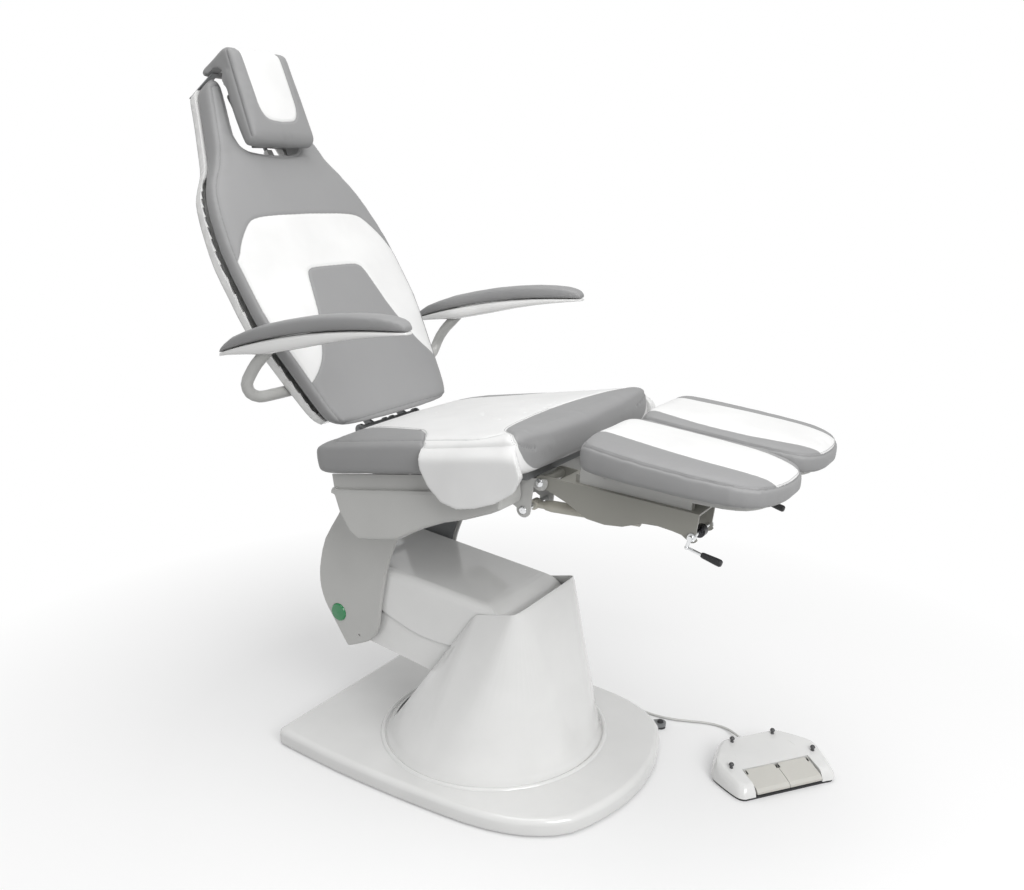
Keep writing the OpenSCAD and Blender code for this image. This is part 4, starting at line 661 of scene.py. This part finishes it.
def makeBack():
    pad = padFrom("backCushion", ["back_cushion"], backLook["voxel"], backLook["cap"])
    tree = surfaceOf(pad)
    scale = lambda share: (share[1] * backLook["halfWidth"], share[0] * backLook["length"])
    half = [(0, 0.015 * backLook["length"])] + [scale(p) for p in backSides] + [scale(p) for p in notchSides]
    outline = roundOff([(x, y) for x, y in half] + [(-x, y) for x, y in reversed(half[1:-1])], 1)
    rim = seamOnTop(tree, insetOutline(outline, backLook["seamInset"]), backPlacing)
    local = toLocal(pointsOf(pad), backPlacing)
    edge = signedDistance(local[:, :2], outline) - backLook["seamInset"]
    drawn = roundOff(mirrored(backPanel), 1)
    inner = [p for p in evenly(drawn, 2.5) if signedDistance(p[None, :], outline)[0] > backLook["seamInset"]]
    arch = castDown(tree, inner, backPlacing, 200.0)
    pressSeams(pad, [rim, arch], backLook["seamDepth"])
    front = pointsOf(pad, "normal") @ backPlacing["up"] > -0.2
    panel = np.minimum(signedDistance(local[:, :2], drawn), edge)
    storeMask(pad, "panel", np.where(front & (local[:, 2] > -25), panel, -4.0))
    dressPiece(pad, twoTone, "back", ("back_cushion",))
    sewRow("backStitching", pad, [rim], 3.4, leather, "back")
    print("back made")


# headrest: block with a white tongue and a hood that sits over the horns

headLook = {"voxel": 4.0, "cap": 1.5, "seamDepth": 1.8, "seamWidth": 3.4, "coreMiddle": (0, 806, 10),
            "coreHalf": (55, 72, 22)}
headPanel = [(0, 1100), (62, 1100), (62, 806), (59, 784), (50, 768), (36, 760), (0, 757)]


def addCore(pad):  # the block reaches back between the horns
    clearSelection()
    bpy.ops.mesh.primitive_cube_add(size=2.0)
    core = settle(bpy.context.object, "headrestCore")
    shape = pointsOf(core)
    middle, half = np.array(headLook["coreMiddle"]), np.array(headLook["coreHalf"])
    setPoints(core, toWorld(middle + shape * half, backPlacing))
    makeActive(core)
    bpy.ops.object.mode_set(mode="EDIT")
    bpy.ops.mesh.select_all(action="SELECT")
    bpy.ops.mesh.normals_make_consistent(inside=False)
    bpy.ops.object.mode_set(mode="OBJECT")
    joinPieces(pad, [core])


def makeHeadrest():
    pad = padFrom("headrestCushion", ["headrest_cushion"], headLook["voxel"], headLook["cap"], addCore)
    tree = surfaceOf(pad)
    drawn = roundOff(mirrored(headPanel), 1)
    below = [p for p in evenly(drawn, 2.0) if p[1] < 934]
    front = castDown(tree, below, backPlacing, 300.0)
    sideSeams = []
    for sign in (1, -1):
        heights = np.linspace(728, 930, 90)
        starts = toWorld([(sign * 300.0, v, 46 + (v - 724) * 0.19) for v in heights], backPlacing)
        sideSeams.append(castLine(tree, starts, np.tile((-sign, 0, 0), (len(starts), 1))))
    pressSeams(pad, [front] + sideSeams, headLook["seamDepth"], headLook["seamWidth"])
    local = toLocal(pointsOf(pad), backPlacing)
    storeMask(pad, "panel", np.where(local[:, 2] > 12, signedDistance(local[:, :2], drawn), -4.0))
    dressPiece(pad, twoTone, "headrest", ("headrest_cushion",))
    sewRow("headrestStitching", pad, sideSeams, 3.0, leather, "headrest", False)
    print("headrest made")


# leg rests: white stripe between two grey bands

legLook = {"voxel": 5.0, "cap": 1.5, "seamDepth": 1.8, "seamWidth": 3.6, "start": 110.0, "length": 374.0,
           "width": 262.0, "seamInset": 6.0}
legOuter = [(0, 0.91), (0.02, 0.95), (0.06, 0.975), (0.16, 1), (0.3, 1.02), (0.56, 1.02), (0.72, 0.995), (0.80, 0.975),
            (0.87, 0.93), (0.93, 0.86), (0.975, 0.73), (1, 0.56)]
legInner = [(0, 0.085), (0.02, 0.05), (0.06, 0.032), (0.16, 0.023), (0.3, 0.023), (0.56, 0.023), (0.72, 0.032),
            (0.80, 0.045), (0.87, 0.07), (0.93, 0.12), (0.975, 0.21), (1, 0.34)]
legStripe = [(178, -40), (180, 10), (186, 60), (197, 150), (200, 230), (198, 290), (190, 340), (180, 420), (84, 420),
             (74, 365), (60, 325), (46, 285), (37, 225), (34, 150), (40, 60), (48, 10), (48, -40)]


def makeLeg(side, sign):
    name = "legCushion" + side
    nodes = ("leg_cushion_" + side.lower(),)
    pad = padFrom(name, nodes, legLook["voxel"], legLook["cap"])
    tree = surfaceOf(pad)
    place = lambda share: (sign * share[1] * legLook["width"], legLook["start"] + share[0] * legLook["length"])
    outline = roundOff([place(p) for p in legOuter] + [place(p) for p in reversed(legInner)], 1)
    rim = seamOnTop(tree, insetOutline(outline, legLook["seamInset"]), legPlacing)
    drawn = roundOff([(sign * x, legLook["start"] + r) for x, r in legStripe], 1)
    inner = [p for p in evenly(drawn, 2.5) if signedDistance(p[None, :], outline)[0] > legLook["seamInset"]]
    stripe = castDown(tree, inner, legPlacing, 300.0)
    pressSeams(pad, [rim, stripe], legLook["seamDepth"], legLook["seamWidth"])
    local = toLocal(pointsOf(pad), legPlacing)
    edge = signedDistance(local[:, :2], outline) - legLook["seamInset"]
    panel = np.minimum(signedDistance(local[:, :2], drawn), edge)
    storeMask(pad, "panel", np.where(local[:, 2] > 100, panel, -4.0))
    body = "leg_pad_" + side.lower()
    dressPiece(pad, twoTone, body, nodes)
    low = seamRound(tree, outline, legPlacing, lambda r: 122.0 - 0.0497 * (r - 110), out=40.0)
    sewRow(name + "Stitching", pad, [low], 0.0, leather, body)
    print("leg rest made:", side)


def makeArmPad(side):
    pad = padFrom("armPad" + side, ["arm_pad_" + side.lower()], 3.5, 0, None, 3)
    storeMask(pad, "seam", np.zeros(len(pad.data.vertices)))
    dressPiece(pad, leather, "armrest_" + side.lower(), ("arm_pad_" + side.lower(),))


makeSeat()
makeBack()
makeHeadrest()
for side, sign in (("Left", 1), ("Right", -1)):
    makeLeg(side, sign)
    makeArmPad(side)

# rigid shells: a merged copy with softened edges

hardShells = {
    "base_cover": ("baseCover", glossShell, "gloss_cover", 0.0, 35),
    "column_cover": ("columnCover", glossShell, "gloss_cover", 1.2, 35),
    "foot_housing": ("footHousing", glossShell, "gloss_cover", 1.0, 35),
    "arm_upper_cover": ("armUpperCover", glossShell, "gloss_cover", 1.2, 30),
    "arm_lower_cover": ("armLowerCover", glossShell, "gloss_cover", 1.2, 30),
    "back_shell": ("backShell", glossShell, "gloss_cover", 0.0, 35),
    "arm_shell_left": ("armShellLeft", glossShell, "gloss_cover", 0.0, 40),
    "arm_shell_right": ("armShellRight", glossShell, "gloss_cover", 0.0, 40),
    "cheek_left": ("cheekLeft", paintedShell, "painted_panel", 0.8, 30),
    "cheek_right": ("cheekRight", paintedShell, "painted_panel", 0.8, 30),
    "seat_undercover": ("seatUndercover", paintedShell, "painted_panel", 1.2, 30),
    # the leg channels take the darker copy of the panel paint, painted shade
    "leg_frame_left": ("legFrameLeft", shadedChannelPaint, "painted_panel", 0.8, 30),
    "leg_frame_right": ("legFrameRight", shadedChannelPaint, "painted_panel", 0.8, 30),
    "leg_brackets": ("legBrackets", paintedShell, "painted_panel", 0.8, 30),
    "arm_tube_left": ("armTubeLeft", paintedTube, "painted_tube", 0.0, 50),
    "arm_tube_right": ("armTubeRight", paintedTube, "painted_tube", 0.0, 50),
}


# the upper cover's rounded top edges are open along a slit in its solid; a thin strip on the same round closes them

edgeStrip = {"rows": 60, "columns": 8, "round": 24.0, "halfWidth": 130.0, "frontRadius": 88.0, "backRadius": 85.0,
             "wall": 4.0, "pivot": (0, -40, 330), "reach": 345.0, "rise": 40.0, "start": -33.5, "overEnd": 24.5,
             "lowAngle": 27.0, "lap": 1.6, "thick": 1.4, "facet": 15.0}


def closeCoverEdge(sign):
    look = edgeStrip
    length = math.hypot(look["reach"], look["rise"])
    turn = math.atan2(look["rise"], look["reach"])
    placing = makePlacing(look["pivot"], (0, math.cos(turn), math.sin(turn)), (0, -math.sin(turn), math.cos(turn)))
    clearSelection()
    bpy.ops.mesh.primitive_grid_add(x_subdivisions=look["rows"], y_subdivisions=look["columns"], size=1.0)
    strip = settle(bpy.context.object, "coverEdge")
    share = pointsOf(strip)[:, :2] + 0.5
    along = look["start"] + share[:, 0] * (length + look["overEnd"] - look["start"])
    past = np.where(along < 0, along, np.maximum(0, along - length))
    radius = look["frontRadius"] - (look["frontRadius"] - look["backRadius"]) * np.clip(along / length, 0, 1)
    inner = np.sqrt((radius - look["wall"]) ** 2 - past ** 2) + look["lap"]
    low = math.radians(look["lowAngle"])
    rise = np.clip((inner - look["frontRadius"] + look["round"]) / look["round"], math.sin(low) + 0.01, 0.95)
    angle = low + share[:, 1] * (np.arcsin(rise) - low)
    step = math.radians(look["facet"])
    bow = look["round"] * math.cos(step / 2) / np.cos(angle % step - step / 2) - 0.02
    across = look["halfWidth"] - look["round"] + bow * np.cos(angle)
    up = look["frontRadius"] - look["round"] + bow * np.sin(angle)
    setPoints(strip, toWorld(np.column_stack([sign * across, along, up]), placing))
    makeActive(strip)
    bpy.ops.object.mode_set(mode="EDIT")
    bpy.ops.mesh.select_all(action="SELECT")
    bpy.ops.mesh.normals_make_consistent(inside=False)
    bpy.ops.object.mode_set(mode="OBJECT")
    if (pointsOf(strip, "normal")[:, 0] * sign).mean() < 0:
        strip.data.flip_normals()
    wall = strip.modifiers.new("wall", "SOLIDIFY")
    wall.thickness = look["thick"] * mm
    wall.offset = -1.0
    applyModifiers(strip)
    return strip


def makeShellPiece(node, name, material, bevel, degrees):
    piece = takeCopy(node, name)
    if bevel:
        flatten = piece.modifiers.new("flatten", "DECIMATE")  # one face for each flat wall
        flatten.decimate_type = "DISSOLVE"
        flatten.angle_limit = math.radians(1)
        soften = piece.modifiers.new("soften", "BEVEL")
        soften.width = bevel * mm
        soften.segments = 3
        soften.limit_method = "ANGLE"
        soften.angle_limit = math.radians(degrees)
        soften.use_clamp_overlap = True
        applyModifiers(piece)
    if node == "arm_upper_cover":
        joinPieces(piece, [closeCoverEdge(1), closeCoverEdge(-1)])
    smoothAll(piece, degrees)
    even = piece.modifiers.new("even", "WEIGHTED_NORMAL")
    even.keep_sharp = True
    applyModifiers(piece)
    dressPiece(piece, material, bodyOf[node], (node,))


for node, (name, material, slot, bevel, degrees) in hardShells.items():
    makeShellPiece(node, name, material, bevel, degrees)
print("shells made")

# the other CAD nodes keep their shape and get a finish

slotFinish = {"gloss_cover": glossShell, "painted_panel": paintedShell, "painted_tube": paintedTube,
              "frame_steel": frameSteel, "chrome": chrome, "grey_leather": leather, "white_leather": leather,
              "black_rubber": rubber,
              "dark_plastic": motorPlastic, "gas_spring_paint": springPaint, "rod_steel": rodSteel,
              "pedal_plastic": pedalPlastic, "green_lens": greenLens, "cord_plastic": cordJacket}
nodeFinish = {"leg_slide_left": paintedShell, "leg_slide_right": paintedShell, "button_back_left": knobPlastic,
              "button_back_right": knobPlastic, "button_side_left": knobPlastic, "button_side_right": knobPlastic}
for entry in frame["record"]["subparts"]:
    shown = frame["nodes"][entry["node"]]
    for place in shown.material_slots:
        place.material = nodeFinish.get(entry["node"], slotFinish[entry["material_slot"]])

# floor and studio light

studio = {"floorSize": 60.0, "seenTone": 0.70, "bounceTone": 0.40, "floorGlow": 0.22, "world": 0.60,
          "fadeStart": 0.8, "fadeEnd": 1.7}
lamps = [("keyLight", (-1.6, -2.8, 2.3), (2.0, 1.8), 66), ("topLight", (-0.3, -0.2, 3.4), (2.4, 2.4), 38)]


def addFloor():
    clearSelection()
    bpy.ops.mesh.primitive_plane_add(size=studio["floorSize"], location=(0, 0, -0.0005))
    floor = settle(bpy.context.object, "studioFloor")
    material, tree, shader = startMaterial("studioFloor")
    shader.inputs["Roughness"].default_value = 0.9
    rays = addNode(tree, "ShaderNodeLightPath")
    seen = mathNode(tree, "MAXIMUM", rays.outputs["Is Camera Ray"], rays.outputs["Is Glossy Ray"])
    tone = rangeOf(tree, seen, 0.0, 1.0, studio["bounceTone"], studio["seenTone"])
    tree.links.new(tone, shader.inputs["Base Color"])
    glow = addNode(tree, "ShaderNodeEmission", {"Color": (1, 1, 1, 1)})
    tree.links.new(mathNode(tree, "MULTIPLY", seen, studio["floorGlow"]), glow.inputs["Strength"])
    both = addNode(tree, "ShaderNodeAddShader")
    tree.links.new(shader.outputs[0], both.inputs[0])
    tree.links.new(glow.outputs[0], both.inputs[1])
    reach = addNode(tree, "ShaderNodeVectorMath", operation="LENGTH")
    tree.links.new(addNode(tree, "ShaderNodeTexCoord").outputs["Object"], reach.inputs[0])
    away = rangeOf(tree, reach.outputs["Value"], studio["fadeStart"], studio["fadeEnd"])
    white = addNode(tree, "ShaderNodeEmission", {"Color": (1, 1, 1, 1), "Strength": 1.0})
    fade = addNode(tree, "ShaderNodeMixShader")
    tree.links.new(mathNode(tree, "MULTIPLY", seen, away), fade.inputs[0])
    tree.links.new(both.outputs[0], fade.inputs[1])
    tree.links.new(white.outputs[0], fade.inputs[2])
    tree.links.new(fade.outputs[0], tree.nodes["Material Output"].inputs["Surface"])
    floor.data.materials.append(material)


def addLamp(name, place, size, power):  # aimed at the middle of the chair
    data = bpy.data.lights.new(name, "AREA")
    data.shape = "RECTANGLE"
    data.size, data.size_y = size
    data.energy = power
    lamp = bpy.data.objects.new(name, data)
    bpy.context.collection.objects.link(lamp)
    lamp.location = place
    lamp.rotation_euler = (Vector((0, 0, 0.6)) - Vector(place)).to_track_quat("-Z", "Y").to_euler()


def lightWorld():
    world = bpy.data.worlds.new("studioWorld")
    bpy.context.scene.world = world
    world.use_nodes = True
    tree = world.node_tree
    rays = addNode(tree, "ShaderNodeLightPath")
    seen = mathNode(tree, "MAXIMUM", rays.outputs["Is Camera Ray"], rays.outputs["Is Transmission Ray"])
    level = mathNode(tree, "ADD", mathNode(tree, "MULTIPLY", seen, 1.0 - studio["world"]), studio["world"])
    tree.links.new(level, tree.nodes["Background"].inputs["Strength"])
    tree.nodes["Background"].inputs["Color"].default_value = (1, 1, 1, 1)


addFloor()
lightWorld()
for lamp in lamps:
    addLamp(*lamp)
bpy.context.scene.view_settings.view_transform = "Standard"

print("scene made")
